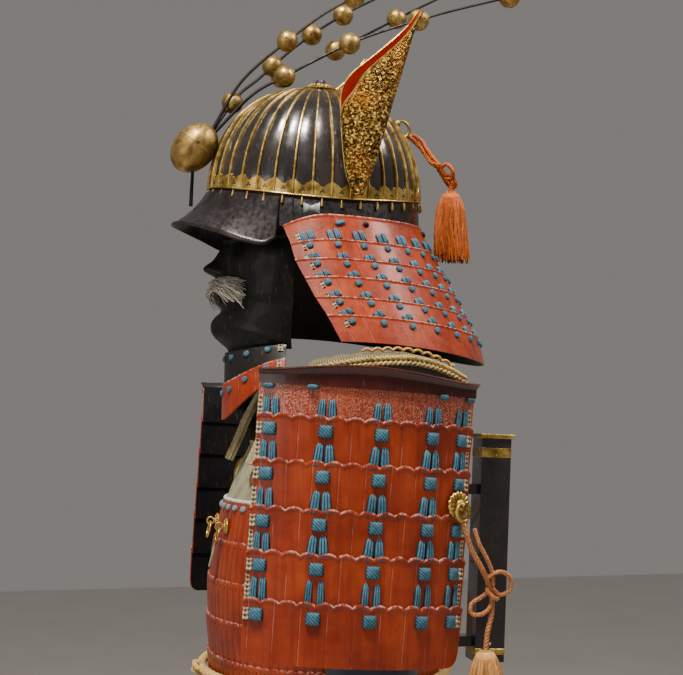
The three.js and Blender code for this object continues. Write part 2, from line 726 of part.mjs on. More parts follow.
// Chest fittings with their swinging rings; the left ring carries a leaf-shaped drop
{
  const LEAN = 13;
  const RING_DROP = 1.1;
  for (const [side, sign] of [['left', 1], ['right', -1]]) {
    const seat = trunkPoint(-90 + sign * 15, -176, WALL + 4);
    const back = point(0, -1, 0);
    const rose = turned([[0, 0], [8, 0], [9, 1.5], [6, 3], [0, 4.5]], 8, seat, back);
    const eyeCentre = seat.clone().add(point(0, -8, 0));
    const eye = ring(circle(eyeCentre, point(0, 1, 0), point(0, 0, 1), 4, 8), 1.1, 5);
    add(`chest_fitting_${side}`, fuse(rose, eye), materials.gold);
    const hoop = ring(circle(point(0, 0, -9), point(1, 0, 0), point(0, 0, 1), 9, 14), 1.2, 5);
    const leafShape = new THREE.Shape([
      [0, -15.5], [4.5, -22], [6, -29], [4, -37], [0, -45], [-4, -37], [-6, -29], [-4.5, -22],
    ].map(([x, z]) => new THREE.Vector2(x, z)));
    const leaf = new THREE.ExtrudeGeometry(leafShape, { depth: 1.2, bevelEnabled: false });
    leaf.rotateX(Math.PI / 2);
    leaf.translate(0, 0.6, 0);
    const piece = side === 'left' ? fuse(hoop, leaf) : hoop;
    piece.rotateX(-radians(LEAN));
    piece.translate(eyeCentre.x, eyeCentre.y, eyeCentre.z - RING_DROP);
    add(`chest_ring_${side}`, piece, materials.gold);
  }
}

// Banner tube: a square wooden tube leaning behind the back, in two brackets
{
  const TUBE = { side: 36, hole: 26, top: -76, length: 266, lean: 2.6, y: 223, x: 0 };
  const place = new THREE.Matrix4()
    .makeTranslation(TUBE.x, TUBE.y, TUBE.top)
    .multiply(new THREE.Matrix4().makeRotationX(-radians(TUBE.lean)));
  const ringOf = (outer, height, top) => {
    const shape = new THREE.Shape([[-1, -1], [1, -1], [1, 1], [-1, 1]].map(([x, y]) =>
      new THREE.Vector2(x * outer / 2, y * outer / 2)));
    shape.holes.push(new THREE.Path([[-1, -1], [-1, 1], [1, 1], [1, -1]].map(([x, y]) =>
      new THREE.Vector2(x * TUBE.hole / 2, y * TUBE.hole / 2))));
    const geometry = new THREE.ExtrudeGeometry(shape, { depth: height, bevelEnabled: false });
    geometry.translate(0, 0, top - height);
    return geometry.applyMatrix4(place);
  };
  const upperArm = block(20, 54, 12, point(0, 153.2 + 27, -140));
  const lowerArm = block(20, 48, 12, point(0, 149.2 + 24, -318));
  add('banner_tube', fuse(
    ringOf(TUBE.side, TUBE.length, 0), ringOf(TUBE.side + 6, 5, 0.5), upperArm, lowerArm,
  ), materials.blackLacquer);
}

// Sleeves: open cloth tubes from under the straps to the wrists, elbows a little bent
{
  const sections = [
    { x: 110, y: 18, z: -40.6, radius: 43 },
    { x: 160, y: 18, z: -60, radius: 46 },
    { x: 208, y: 17, z: -118, radius: 46 },
    { x: 226, y: 18, z: -200, radius: 45 },
    { x: 230, y: 20, z: -300, radius: 41 },
    { x: 233, y: 2, z: -390, radius: 38 },
    { x: 236, y: -28, z: -510, radius: 31 },
  ];
  const line = new THREE.CatmullRomCurve3(sections.map(({ x, y, z }) => point(x, y, z)), false, 'centripetal');
  const sleeve = (u, v) => {
    const along = THREE.MathUtils.clamp(1 - v, 0, 1);
    const heading = line.getTangent(along);
    const side = point(0, 1, 0).cross(heading).normalize();
    const front = heading.clone().cross(side).normalize();
    const radius = lookUp(sections.map((row, i) => ({ ...row, at: i / 6 })), 'at', along, 'radius');
    const turn = 2 * Math.PI * u;
    return line.getPoint(along)
      .addScaledVector(side, -radius * Math.cos(turn))
      .addScaledVector(front, radius * Math.sin(turn));
  };
  const left = panel({ surface: sleeve, us: range(10).map((i) => i / 10), vs: steps(6, 0.004, 0.996),
    outer: THIN_WALL, closed: true });
  const right = mirrored(left);
  add('sleeve_left', left, materials.indigoCloth);
  add('sleeve_right', right, materials.indigoCloth);
}

// Thigh apron: one cloth from the waist to the knees, split between the legs
const KNEE = -890;
const SHIN = { x: 92, y: -10.1 };
{
  const apron = (u, v) => {
    const z = mix(KNEE, BODY_FOOT - 0.6, v);
    const turn = radians(mix(-165, -15, u));
    return point(mix(186, 164, v) * Math.cos(turn), BODY.centreY + mix(113, 128, v) * Math.sin(turn), z);
  };
  const cloth = panel({ surface: apron, us: steps(12), vs: [0, 0.33, 0.67, 1], outer: THIN_WALL });
  const slit = block(14, 120, 420, point(0, -110, KNEE + 190));
  add('thigh_apron', fromSolid(toSolid(cloth).subtract(toSolid(slit))), materials.indigoCloth);
}

// Shin guards: open at the calf, their knee plates just behind the apron
{
  const sections = [
    { z: -1262, radius: 41 },
    { z: -1100, radius: 52 },
    { z: -960, radius: 57 },
    { z: -870, radius: 64 },
  ];
  const shin = (u, v) => {
    const z = mix(-1262, -870, v);
    const turn = radians(mix(-215, 35, u));
    const radius = lookUp(sections, 'z', z, 'radius');
    return point(SHIN.x + radius * Math.cos(turn), SHIN.y + radius * Math.sin(turn), z);
  };
  const left = panel({ surface: shin, us: steps(10), vs: [0, 0.4, 0.77, 1], outer: THIN_WALL });
  const right = mirrored(left);
  add('shin_guard_left', left, materials.redLacquer);
  add('shin_guard_right', right, materials.redLacquer);
}

export default armour;
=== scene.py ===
# Suit of armour dressed over its CAD frame: camera, materials, cords, then each piece.
# Lengths in the tables are millimetres in the row frame; meshes are made in metres.
import random
from math import asin, cos, exp, pi, radians, sin, sqrt
import bmesh
import bpy
from mathutils import Matrix, Vector


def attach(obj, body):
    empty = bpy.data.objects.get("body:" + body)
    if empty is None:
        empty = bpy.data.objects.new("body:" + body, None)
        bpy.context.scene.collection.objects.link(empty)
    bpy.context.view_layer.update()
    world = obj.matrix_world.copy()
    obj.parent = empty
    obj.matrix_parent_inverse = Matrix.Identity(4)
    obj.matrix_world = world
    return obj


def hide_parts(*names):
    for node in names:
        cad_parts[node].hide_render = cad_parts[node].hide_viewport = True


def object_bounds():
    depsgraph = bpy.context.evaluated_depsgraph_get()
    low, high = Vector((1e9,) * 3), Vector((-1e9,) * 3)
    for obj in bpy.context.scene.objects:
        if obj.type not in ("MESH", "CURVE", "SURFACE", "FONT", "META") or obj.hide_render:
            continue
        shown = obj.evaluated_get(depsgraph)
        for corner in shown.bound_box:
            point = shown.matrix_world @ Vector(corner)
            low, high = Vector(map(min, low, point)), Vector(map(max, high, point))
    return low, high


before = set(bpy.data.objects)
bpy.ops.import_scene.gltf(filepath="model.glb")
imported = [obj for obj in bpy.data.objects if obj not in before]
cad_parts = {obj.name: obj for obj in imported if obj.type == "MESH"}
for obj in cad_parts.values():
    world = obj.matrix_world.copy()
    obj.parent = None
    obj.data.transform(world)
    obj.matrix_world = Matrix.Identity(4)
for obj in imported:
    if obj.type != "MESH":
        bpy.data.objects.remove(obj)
CAD_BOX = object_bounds()
MM = 0.001
ARMOUR = "armour"
V = Vector


# Camera
LENS, SENSOR, NEAR_CLIP = 68.52, 36, 0.05
CAMERA_PLACE = (1.4944, -0.2800, -0.057)
CAMERA_DEGREES = (93.587, 0, 78)


def make_camera():
    data = bpy.data.cameras.new("view")
    data.lens = LENS
    data.sensor_width = SENSOR
    data.clip_start = NEAR_CLIP
    cam = bpy.data.objects.new("view", data)
    cam.location = CAMERA_PLACE
    cam.rotation_euler = [radians(a) for a in CAMERA_DEGREES]
    bpy.context.scene.collection.objects.link(cam)
    bpy.context.scene.camera = cam


make_camera()


# Small helpers
def mix(a, b, t):
    return a + (b - a) * t


def smooth(x, low, high):
    t = min(max((x - low) / (high - low), 0.0), 1.0)
    return t * t * (3 - 2 * t)


def steps(count, start=0.0, end=1.0):
    return [mix(start, end, i / count) for i in range(count + 1)]


def ring_steps(count):
    return [i / count for i in range(count)]


def round_steps(count):
    """Angles all the way round, in radians."""
    return [2 * pi * k / count for k in range(count)]


def row_after(table, key_name, key):
    return max(next((k for k, row in enumerate(table) if row[key_name] > key), len(table) - 1), 1)


def look(table, key_name, key, name):
    """Straight-line value of a column at a key."""
    i = row_after(table, key_name, key)
    a, b = table[i - 1], table[i]
    return mix(a[name], b[name], (key - a[key_name]) / (b[key_name] - a[key_name]))


def look_round(table, key_name, key, name):
    """The same, on a smooth curve through the rows."""
    i = row_after(table, key_name, key)
    a, b = table[i - 1], table[i]
    width = b[key_name] - a[key_name]
    t = min(max((key - a[key_name]) / width, 0), 1)
    before, after = table[max(i - 2, 0)], table[min(i + 1, len(table) - 1)]
    ma = (b[name] - before[name]) / max(b[key_name] - before[key_name], 1e-9) * width
    mb = (after[name] - a[name]) / max(after[key_name] - a[key_name], 1e-9) * width
    t2, t3 = t * t, t * t * t
    return ((2 * t3 - 3 * t2 + 1) * a[name] + (t3 - 2 * t2 + t) * ma
            + (3 * t2 - 2 * t3) * b[name] + (t3 - t2) * mb)


def table(names, rows):
    return [dict(zip(names.split(), row)) for row in rows]


def curve_points(points, count, closed=False):
    """Centripetal curve through points, cut to equal lengths."""
    pts = [V(p) for p in points]
    n = len(pts)
    dense = []
    for i in range(n if closed else n - 1):
        p1, p2 = pts[i], pts[(i + 1) % n]
        p0 = pts[i - 1] if (closed or i > 0) else p1 * 2 - p2
        p3 = pts[(i + 2) % n] if (closed or i + 2 < n) else p2 * 2 - p1
        t0 = 0
        t1 = t0 + max((p1 - p0).length, 1e-6) ** 0.5
        t2 = t1 + max((p2 - p1).length, 1e-6) ** 0.5
        t3 = t2 + max((p3 - p2).length, 1e-6) ** 0.5
        for k in range(16):
            t = mix(t1, t2, k / 16)
            a1 = p0 * ((t1 - t) / (t1 - t0)) + p1 * ((t - t0) / (t1 - t0))
            a2 = p1 * ((t2 - t) / (t2 - t1)) + p2 * ((t - t1) / (t2 - t1))
            a3 = p2 * ((t3 - t) / (t3 - t2)) + p3 * ((t - t2) / (t3 - t2))
            b1 = a1 * ((t2 - t) / (t2 - t0)) + a2 * ((t - t0) / (t2 - t0))
            b2 = a2 * ((t3 - t) / (t3 - t1)) + a3 * ((t - t1) / (t3 - t1))
            dense.append(b1 * ((t2 - t) / (t2 - t1)) + b2 * ((t - t1) / (t2 - t1)))
    dense.append(pts[0].copy() if closed else pts[-1].copy())
    reach = [0.0]
    for a, b in zip(dense, dense[1:]):
        reach.append(reach[-1] + (b - a).length)
    found, k = [], 0
    for i in range(count + (0 if closed else 1)):
        want = reach[-1] * i / count
        while k < len(reach) - 2 and reach[k + 1] < want:
            k += 1
        span = max(reach[k + 1] - reach[k], 1e-9)
        found.append(dense[k].lerp(dense[k + 1], min(max((want - reach[k]) / span, 0), 1)))
    return found


def point_along(points, share):
    """The point at a share of the way along evenly spaced points."""
    last = len(points) - 1
    place = min(max(share, 0), 1) * last
    k = min(int(place), last - 1)
    return points[k].lerp(points[k + 1], place - k)


def route_length(points):
    return sum((b - a).length for a, b in zip(points, points[1:]))


def facing(axis):
    """The turn that takes z to an axis."""
    return V((0, 0, 1)).rotation_difference(V(axis)).to_matrix().to_4x4()


def frames_along(points, closed):
    """Each point of a line with its two cross directions and the distance run."""
    n, side, run = len(points), None, 0.0
    for i, p in enumerate(points):
        a = points[i - 1] if (i or closed) else p
        b = points[(i + 1) % n] if (i < n - 1 or closed) else p
        ahead = (b - a).normalized()
        if side is None:
            pick = V((0, 0, 1)) if abs(ahead.z) < 0.9 else V((0, 1, 0))
            side = ahead.cross(pick).normalized()
        side = (side - ahead * side.dot(ahead)).normalized()
        if i:
            run += (p - points[i - 1]).length
        yield p, side, ahead.cross(side), run


PROBE = 0.0008  # share of a surface over which its slope is taken


def slopes(surface, u, v):
    """Steps along and up a surface."""
    return (surface(u + PROBE, v) - surface(u - PROBE, v), surface(u, v + PROBE) - surface(u, v - PROBE))


def normal_at(surface, u, v):
    along, up = slopes(surface, u, v)
    n = along.cross(up)
    return n.normalized() if n.length > 1e-12 else V((0, 0, 1))


def offset(surface, u, v, out):
    """A point standing off a surface."""
    return surface(u, v) + normal_at(surface, u, v) * out


def frame_at(surface, u, v, out=0.0):
    """Local frame on a surface: x along u, y up, z outward."""
    n = normal_at(surface, u, v)
    up = slopes(surface, u, v)[1].normalized()
    x = up.cross(n).normalized()
    y = n.cross(x).normalized()
    p = surface(u, v) + n * out
    return Matrix(((x.x, y.x, n.x, p.x), (x.y, y.y, n.y, p.y), (x.z, y.z, n.z, p.z), (0, 0, 0, 1)))


# Mesh building
class Build:
    """Vertices in mm with a uv in mm and a shade value, and faces with a material number."""

    def __init__(self):
        self.verts, self.uvs, self.shades, self.faces, self.mats = [], [], [], [], []

    def grid(self, rows, uvs=None, shades=None, closed=False, mat=0, flip=False):
        base, columns = len(self.verts), len(rows[0])
        for r, row in enumerate(rows):
            for c, p in enumerate(row):
                self.verts.append(V(p))
                self.uvs.append(uvs[r][c] if uvs else (0.0, 0.0))
                self.shades.append(shades[r][c] if shades else 1.0)
        for r in range(len(rows) - 1):
            for c in range(columns if closed else columns - 1):
                d = (c + 1) % columns
                quad = [base + r * columns + c, base + r * columns + d,
                        base + (r + 1) * columns + d, base + (r + 1) * columns + c]
                self.faces.append(quad[::-1] if flip else quad)
                self.mats.append(mat)
        return base

    def tube(self, points, radius, sides=8, mat=0, closed=False, caps=True, shade=1.0, flat=1.0):
        """A round or flattened bar along points; radius is a number or a list."""
        n = len(points)
        radii = radius if isinstance(radius, (list, tuple)) else [radius] * n
        rows, uvs = [], []
        for r, (p, side, other, run) in zip(radii, frames_along(points, closed)):
            rows.append([p + (side * cos(a) + other * sin(a) * flat) * r
                         for a in round_steps(sides)])
            uvs.append([(2 * pi * r * k / sides, run) for k in range(sides)])
        if closed:
            rows.append(rows[0])
            uvs.append(uvs[0])
        base = self.grid(rows, uvs, [[shade] * sides for _ in rows], closed=True, mat=mat)
        if caps and not closed:
            for r, order in ((0, 1), (n - 1, -1)):
                self.faces.append([base + r * sides + k for k in range(sides)][::-order])
                self.mats.append(mat)

    def turn(self, profile, sides, base, axis, mat=0, wave=None, shades=None):
        """A turned piece; wave(k, j) scales the radius of ring j at side k."""
        turn = V((0, 0, 1)).rotation_difference(V(axis).normalized())
        rows = []
        for j, (radius, height) in enumerate(profile):
            row = []
            for k, a in enumerate(round_steps(sides)):
                r = radius * (wave(k, j) if wave else 1)
                row.append(turn @ V((r * cos(a), r * sin(a), height)) + V(base))
            rows.append(row)
        shade = [[shades[j] if shades else 1.0] * sides for j in range(len(profile))]
        self.grid(rows, None, shade, closed=True, mat=mat)

    def ball(self, centre, radius, across, high, squash=(1, 1, 1)):
        wide, deep, tall = (radius * share for share in squash)
        rows = []
        for j in range(high + 1):
            rise = pi * (j / high - 0.5)
            x, y, z = wide * cos(rise), deep * cos(rise), tall * sin(rise)
            rows.append([V(centre) + V((x * cos(a), y * sin(a), z)) for a in round_steps(across)])
        self.grid(rows, closed=True)

    def patch(self, at, nx, ny, raise_by, shade_by, outline, mat=0, uv0=(0, 0)):
        """A small raised patch in a local frame (x across, y up, z out)."""
        rows, uvs, shades = [], [], []
        for j in range(ny + 1):
            t = j / ny * 2 - 1
            row, uv, shade = [], [], []
            for i in range(nx + 1):
                s = i / nx * 2 - 1
                x, y = outline(s, t)
                row.append(at @ V((x, y, raise_by(s, t))))
                uv.append((uv0[0] + x, uv0[1] + y))
                shade.append(shade_by(s, t))
            rows.append(row)
            uvs.append(uv)
            shades.append(shade)
        self.grid(rows, uvs, shades, mat=mat)

    def make(self, name, materials, slot, body=ARMOUR, angle=40, weld=False, place=None, stand_for=()):
        mesh = bpy.data.meshes.new(name)
        pts = [place @ p for p in self.verts] if place else self.verts
        mesh.from_pydata([tuple(p * MM) for p in pts], [], self.faces)
        uv = mesh.uv_layers.new(name="UVMap")
        loops = [0] * len(mesh.loops)
        mesh.loops.foreach_get("vertex_index", loops)
        uv.data.foreach_set("uv", [x for i in loops for x in self.uvs[i]])
        shade = mesh.attributes.new("shade", "FLOAT", "POINT")
        shade.data.foreach_set("value", self.shades)
        mesh.polygons.foreach_set("material_index", self.mats)
        for m in materials:
            mesh.materials.append(m)
        if weld:
            work = bmesh.new()
            work.from_mesh(mesh)
            bmesh.ops.remove_doubles(work, verts=work.verts, dist=1e-6)
            work.to_mesh(mesh)
            work.free()
        mesh.update()
        mesh.validate()
        mesh.shade_smooth()
        mesh.set_sharp_from_angle(angle=radians(angle))
        obj = bpy.data.objects.new(name, mesh)
        bpy.context.scene.collection.objects.link(obj)
        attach(obj, body)
        if stand_for:
            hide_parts(*stand_for)
        return obj


def steady(value):
    """A number as a function of the place on a surface."""
    return value if callable(value) else (lambda u, v: value)


def add_wall(build, surface, us, vs, outer, inner=0.0, closed=False, uv=(100, 100), mats=(0, 0, 0),
             shade=1.0):
    """A closed wall on a surface, as in the CAD; mats are those of outside, inside and rims."""
    high, low, dark = steady(outer), steady(inner), steady(shade)
    where = uv if callable(uv) else (lambda u, v: (u * uv[0], v * uv[1]))
    out_rows, in_rows, uvs, shades = [], [], [], []
    for v in vs:
        normals = [normal_at(surface, u, v) for u in us]
        points = [surface(u, v) for u in us]
        out_rows.append([p + n * high(u, v) for u, p, n in zip(us, points, normals)])
        in_rows.append([p + n * low(u, v) for u, p, n in zip(us, points, normals)])
        uvs.append([where(u, v) for u in us])
        shades.append([dark(u, v) for u in us])
    build.grid(out_rows, uvs, shades, closed=closed, mat=mats[0])
    build.grid(in_rows, uvs, shades, closed=closed, mat=mats[1], flip=True)
    rim = mats[2]
    for r, flip in ((0, False), (-1, True)):
        build.grid([in_rows[r], out_rows[r]], [uvs[r]] * 2, [shades[r]] * 2, closed, rim, flip)
    if not closed:
        for c, flip in ((0, True), (-1, False)):
            build.grid([[row[c] for row in in_rows], [row[c] for row in out_rows]],
                       [[row[c] for row in uvs]] * 2, [[row[c] for row in shades]] * 2, False, rim, flip)


# Materials
class Paint:
    def __init__(self, name, color=(0.5, 0.5, 0.5), rough=0.5, metal=0.0, **more):
        self.mat = bpy.data.materials.new(name)
        self.mat.use_nodes = True
        self.tree = self.mat.node_tree
        self.shader = self.tree.nodes["Principled BSDF"]
        self.set("Base Color", (*color, 1))
        self.set("Roughness", rough)
        self.set("Metallic", metal)
        for key, value in more.items():
            self.set(key.replace("_", " "), value)
        self.mat.diffuse_color = (*color, 1)

    def set(self, socket, value):
        self.shader.inputs[socket].default_value = value

    def node(self, kind, inputs=None, **facts):
        n = self.tree.nodes.new("ShaderNode" + kind)
        for key, value in facts.items():
            setattr(n, key, value)
        for key, value in (inputs or {}).items():
            self.join(n, key, value)
        return n

    def to(self, socket, value):
        self.tree.links.new(value, self.shader.inputs[socket])

    def place(self, scale):
        where = self.node("TexCoord").outputs["Object"]
        return self.node("Mapping", {"Vector": where, "Scale": scale}).outputs[0]

    def noise(self, scale, detail=3.0, rough=0.5, at=None, distort=0.0):
        where = self.node("TexCoord").outputs["Object"] if at is None else at
        return self.node("TexNoise", {"Scale": scale, "Detail": detail, "Roughness": rough,
                                      "Distortion": distort, "Vector": where}).outputs["Fac"]

    def cells(self, scale, out="Distance"):
        where = self.node("TexCoord").outputs["Object"]
        return self.node("TexVoronoi", {"Scale": scale, "Vector": where}).outputs[out]

    def ramp(self, value, stops):
        n = self.node("ValToRGB", {"Fac": value})
        band = n.color_ramp
        while len(band.elements) < len(stops):
            band.elements.new(0.5)
        for element, (at, color) in zip(band.elements, stops):
            element.position = at
            element.color = (*color, 1)
        return n.outputs["Color"]

    def level(self, value, low, high, from_low=0.0, from_high=1.0):
        return self.node("MapRange", {"Value": value, "From Min": from_low, "From Max": from_high,
                                      "To Min": low, "To Max": high}).outputs["Result"]

    def join(self, n, key, value):
        """Link a socket, or set a plain value."""
        if isinstance(value, bpy.types.NodeSocket):
            self.tree.links.new(value, n.inputs[key])
        else:
            n.inputs[key].default_value = value

    def math(self, kind, a, b=0.0):
        n = self.node("Math", operation=kind)
        self.join(n, 0, a)
        self.join(n, 1, b)
        return n.outputs[0]

    def times(self, a, b):
        return self.math("MULTIPLY", a, b)

    def sines(self, a, b, scale):
        """Product of two sine waves."""
        return self.times(self.math("SINE", self.times(a, scale)), self.math("SINE", self.times(b, scale)))

    def diagonals(self, u, v, scale):
        return self.sines(self.math("ADD", u, v), self.math("SUBTRACT", u, v), scale)

    def blend(self, share, a, b):
        n = self.node("Mix", data_type="RGBA")
        for key, value in ((0, share), (6, a), (7, b)):
            self.join(n, key, (*value, 1) if isinstance(value, tuple) else value)
        return n.outputs[2]

    def spots(self, color, other, noise, most, low, high):
        """Another colour, up to a share, where a noise rises from low to high."""
        return self.blend(self.level(noise, 0.0, most, low, high), color, other)

    def uv(self):
        split = self.node("SeparateXYZ", {"Vector": self.node("UVMap").outputs[0]})
        return split.outputs[0], split.outputs[1]

    def shade(self):
        return self.node("Attribute", attribute_name="shade").outputs["Fac"]

    def bump(self, height, strength=0.3, distance=0.001, after=None):
        inputs = {"Height": height, "Strength": strength, "Distance": distance}
        if after is not None:
            inputs["Normal"] = after
        n = self.node("Bump", inputs)
        self.to("Normal", n.outputs[0])
        return n.outputs[0]


def lacquer_red(name, grain_and_sparkle, seam=25.0, rim_highlight_and_wear=0.6):
    """Red lacquer over leather: plates seamed every few mm across, each seam with a painted highlight on one
    side and painted shade on the other; a pale head edge that is a painted highlight broken by chipped wear;
    grain, with pale flecks that are painted sparkle highlights; painted shade where the shade value is low.
    """
    p = Paint(name, (0.4, 0.05, 0.02), 0.4, Coat_Weight=0.12 + 0.45 * grain_and_sparkle, Coat_Roughness=0.16,
              Specular_IOR_Level=0.3)
    u, v = p.uv()
    color = p.ramp(p.noise(22, 4, 0.6), [(0.3, (0.20, 0.018, 0.004)), (0.52, (0.32, 0.036, 0.007)),
                                         (0.75, (0.43, 0.062, 0.011))])
    streak = p.noise(1.0, 3, 0.6, at=p.place((160, 160, 9)))
    color = p.spots(color, (0.15, 0.012, 0.003), streak, 0.6, 0.42, 0.75)
    fine = p.noise(620, 3, 0.65)
    # Pale flecks over the grain, strongest on the grained lames: painted sparkle highlights.
    sparkle_fleck = p.level(fine, 0.0, 1.0, 0.56, 0.72)
    patch = p.level(p.noise(14, 2, 0.5), max(grain_and_sparkle - 0.3, 0.0), 1.0, 0.4, 0.62)
    pale = p.times(p.times(sparkle_fleck, patch), grain_and_sparkle)
    color = p.blend(p.times(pale, 0.7), color, (0.74, 0.36, 0.26))
    # Pale wrinkle marks on the most grained lames: painted highlight.
    if grain_and_sparkle > 0.5:
        wrinkle = p.noise(760, 2, 0.5, distort=0.6)
        lit = p.times(p.level(wrinkle, 0.0, 0.62, 0.48, 0.60),
                      p.level(p.noise(9, 2), 0.5, 1.0, 0.35, 0.6))
        color = p.blend(lit, color, (0.74, 0.36, 0.27))
    if seam:
        part = p.math("FRACT", p.math("DIVIDE", u, seam))
        # Each seam: a pale line that is a painted highlight on one side, painted shade on the other.
        line = p.level(part, 1.0, 0.0, 0.0, 0.05)
        broken = p.level(p.noise(45, 2, 0.5), 0.1, 1.0, 0.4, 0.6)
        color = p.blend(p.times(p.times(line, broken), 0.5), color, (0.75, 0.30, 0.20))
        dark = p.level(part, 0.0, 1.0, 0.955, 1.0)
        color = p.blend(p.times(dark, 0.75), color, (0.13, 0.008, 0.004))
    # Pale band along the head edge, broken by noise: painted highlight with chipped wear.
    edge = p.level(v, 1.0, 0.0, 0.5, 2.4)
    chipped_highlight = p.level(p.noise(240, 3, 0.6), 0.0, 1.0, 0.46, 0.62)
    color = p.blend(p.times(p.times(edge, chipped_highlight), rim_highlight_and_wear), color, (0.90, 0.62, 0.52))
    # Painted shade: darker where the shade value is low, as at lame feet and in grooves.
    color = p.blend(p.level(p.shade(), 0.75, 0.0), color, (0.10, 0.010, 0.006))
    p.to("Base Color", color)
    p.to("Roughness", p.level(p.noise(90, 3), 0.30, 0.54, 0.3, 0.7))
    first = p.bump(p.noise(300, 2, 0.6), 0.10 + 0.9 * grain_and_sparkle, 0.0006 + 0.0012 * max(grain_and_sparkle - 0.3, 0))
    if seam:
        first = p.bump(p.level(part, 0.0, 1.0), 0.5, 0.0010, first)
    p.bump(fine, 0.12 + 0.5 * grain_and_sparkle, 0.0005, first)
    return p.mat


def gilt(name, dark=(0.16, 0.085, 0.015), mid=(0.52, 0.34, 0.08), light=(0.86, 0.64, 0.23), rough=0.32,
         bump=0.15, metal=0.9):
    """Gilt copper with a brown patina that gathers in patches and grooves."""
    p = Paint(name, mid, rough, metal)
    color = p.ramp(p.noise(60, 5, 0.65), [(0.30, dark), (0.48, mid), (0.70, light)])
    color = p.spots(color, dark, p.noise(420, 3, 0.7), 0.6, 0.55, 0.75)
    color = p.blend(p.level(p.shade(), 0.85, 0.0), color, (0.03, 0.018, 0.006))
    p.to("Base Color", color)
    p.to("Roughness", p.level(p.noise(150, 4), rough - 0.1, rough + 0.2, 0.3, 0.7))
    p.bump(p.noise(260, 4, 0.7), bump, 0.0006)
    return p.mat


def hammered(name):
    """Crumpled gold leaf over lacquer for the ears' outsides."""
    p = Paint(name, (0.42, 0.26, 0.06), 0.3, 0.9)
    tone = p.node("SeparateColor", {"Color": p.cells(460, out="Color")}).outputs[0]
    color = p.ramp(tone, [(0.15, (0.03, 0.015, 0.003)), (0.5, (0.17, 0.09, 0.013)),
                          (0.8, (0.42, 0.25, 0.045)), (0.97, (0.95, 0.70, 0.21))])
    color = p.spots(color, (0.48, 0.17, 0.02), p.noise(18, 2), 0.6, 0.45, 0.7)
    crease = p.level(p.noise(240, 4, 0.7), 0.85, 0.0, 0.34, 0.50)
    color = p.blend(crease, color, (0.05, 0.024, 0.005))
    p.to("Base Color", color)
    p.to("Roughness", p.level(tone, 0.22, 0.5))
    first = p.bump(p.noise(300, 5, 0.75), 1.0, 0.0022)
    p.bump(p.cells(360), 0.8, 0.0016, first)
    return p.mat


def silk(name, low, high, glint, ribs=0.0, rough=0.6):
    """Silk braid: dark in the grooves (shade), fine fibre noise and soft sheen."""
    p = Paint(name, high, rough, 0.0, Sheen_Weight=0.08, Sheen_Roughness=0.4, Specular_IOR_Level=0.3)
    lit = p.ramp(p.noise(260, 4, 0.7), [(0.32, high), (0.68, glint)])
    color = p.blend(p.level(p.shade(), 1.0, 0.0, 0.15, 0.9), lit, low)
    p.to("Base Color", p.spots(color, low, p.noise(30, 3), 0.35, 0.45, 0.7))
    first = p.bump(p.noise(900, 3, 0.6), 0.4, 0.0004)
    if ribs:
        u, v = p.uv()
        chevron = p.math("SINE", p.times(p.math("ADD", v, p.times(u, 0.8)), ribs))
        p.bump(chevron, 0.5, 0.0006, first)
    return p.mat


def checked_braid(name):
    """White and brown checked silk braid."""
    p = Paint(name, (0.6, 0.55, 0.42), 0.7, Sheen_Weight=0.15)
    u, v = p.uv()
    cross = p.diagonals(u, v, 0.72)
    color = p.ramp(p.level(cross, 0.0, 1.0, -1.0, 1.0),
                   [(0.34, (0.030, 0.018, 0.010)), (0.43, (0.22, 0.15, 0.07)), (0.54, (0.56, 0.47, 0.31))])
    p.to("Base Color", p.spots(color, (0.38, 0.27, 0.14), p.noise(300, 3), 0.5, 0.4, 0.75))
    p.bump(cross, 0.6, 0.0008)
    return p.mat


def black_gloss(name, base=(0.010, 0.010, 0.012), rough=0.16, brown=(0.035, 0.026, 0.022), coat=0.6):
    """Polished lacquer with a faint brown cloud and a few scuffs."""
    p = Paint(name, base, rough, 0.0, Coat_Weight=coat, Coat_Roughness=0.06,
              Specular_IOR_Level=0.2 + 0.5 * coat)
    color = p.ramp(p.noise(25, 4, 0.6), [(0.35, base), (0.7, brown)])
    scuff = p.noise(500, 2, 0.5, at=p.place((1, 1, 0.15)))
    p.to("Base Color", p.spots(color, (0.16, 0.13, 0.11), scuff, 0.35, 0.62, 0.75))
    p.to("Roughness", p.level(p.noise(60, 4), rough, rough + 0.18, 0.35, 0.75))
    p.bump(p.noise(45, 2, 0.5), 0.12, 0.0012)
    return p.mat


def iron(name, low, high, rough):
    """Dark iron with small rust patches."""
    p = Paint(name, high, rough, 0.65)
    color = p.ramp(p.noise(35, 5, 0.65), [(0.3, low), (0.7, high)])
    p.to("Base Color", p.spots(color, (0.10, 0.045, 0.02), p.noise(90, 4, 0.7), 0.22, 0.58, 0.8))
    p.to("Roughness", p.level(p.noise(200, 4), rough - 0.08, rough + 0.2, 0.3, 0.7))
    p.bump(p.noise(420, 4, 0.7), 0.18, 0.0005)
    return p.mat


def brocade(name, ground, figure, glint, scale=1.0):
    """Padded cloth woven with a small lattice of diamonds and dots."""
    p = Paint(name, ground, 0.75, 0.0, Sheen_Weight=0.05)
    u, v = p.uv()
    k = 2 * pi / (11 * scale)
    lattice = p.math("ABSOLUTE", p.diagonals(u, v, k))
    color = p.ramp(lattice, [(0.05, glint), (0.16, figure), (0.34, ground), (0.8, ground), (0.93, glint)])
    faded = tuple(c * 0.45 for c in ground)
    p.to("Base Color", p.spots(color, faded, p.noise(60, 4), 0.6, 0.42, 0.7))
    first = p.bump(p.sines(u, v, 9.0), 0.35, 0.0004)
    p.bump(lattice, 0.3, 0.0006, first)
    return p.mat


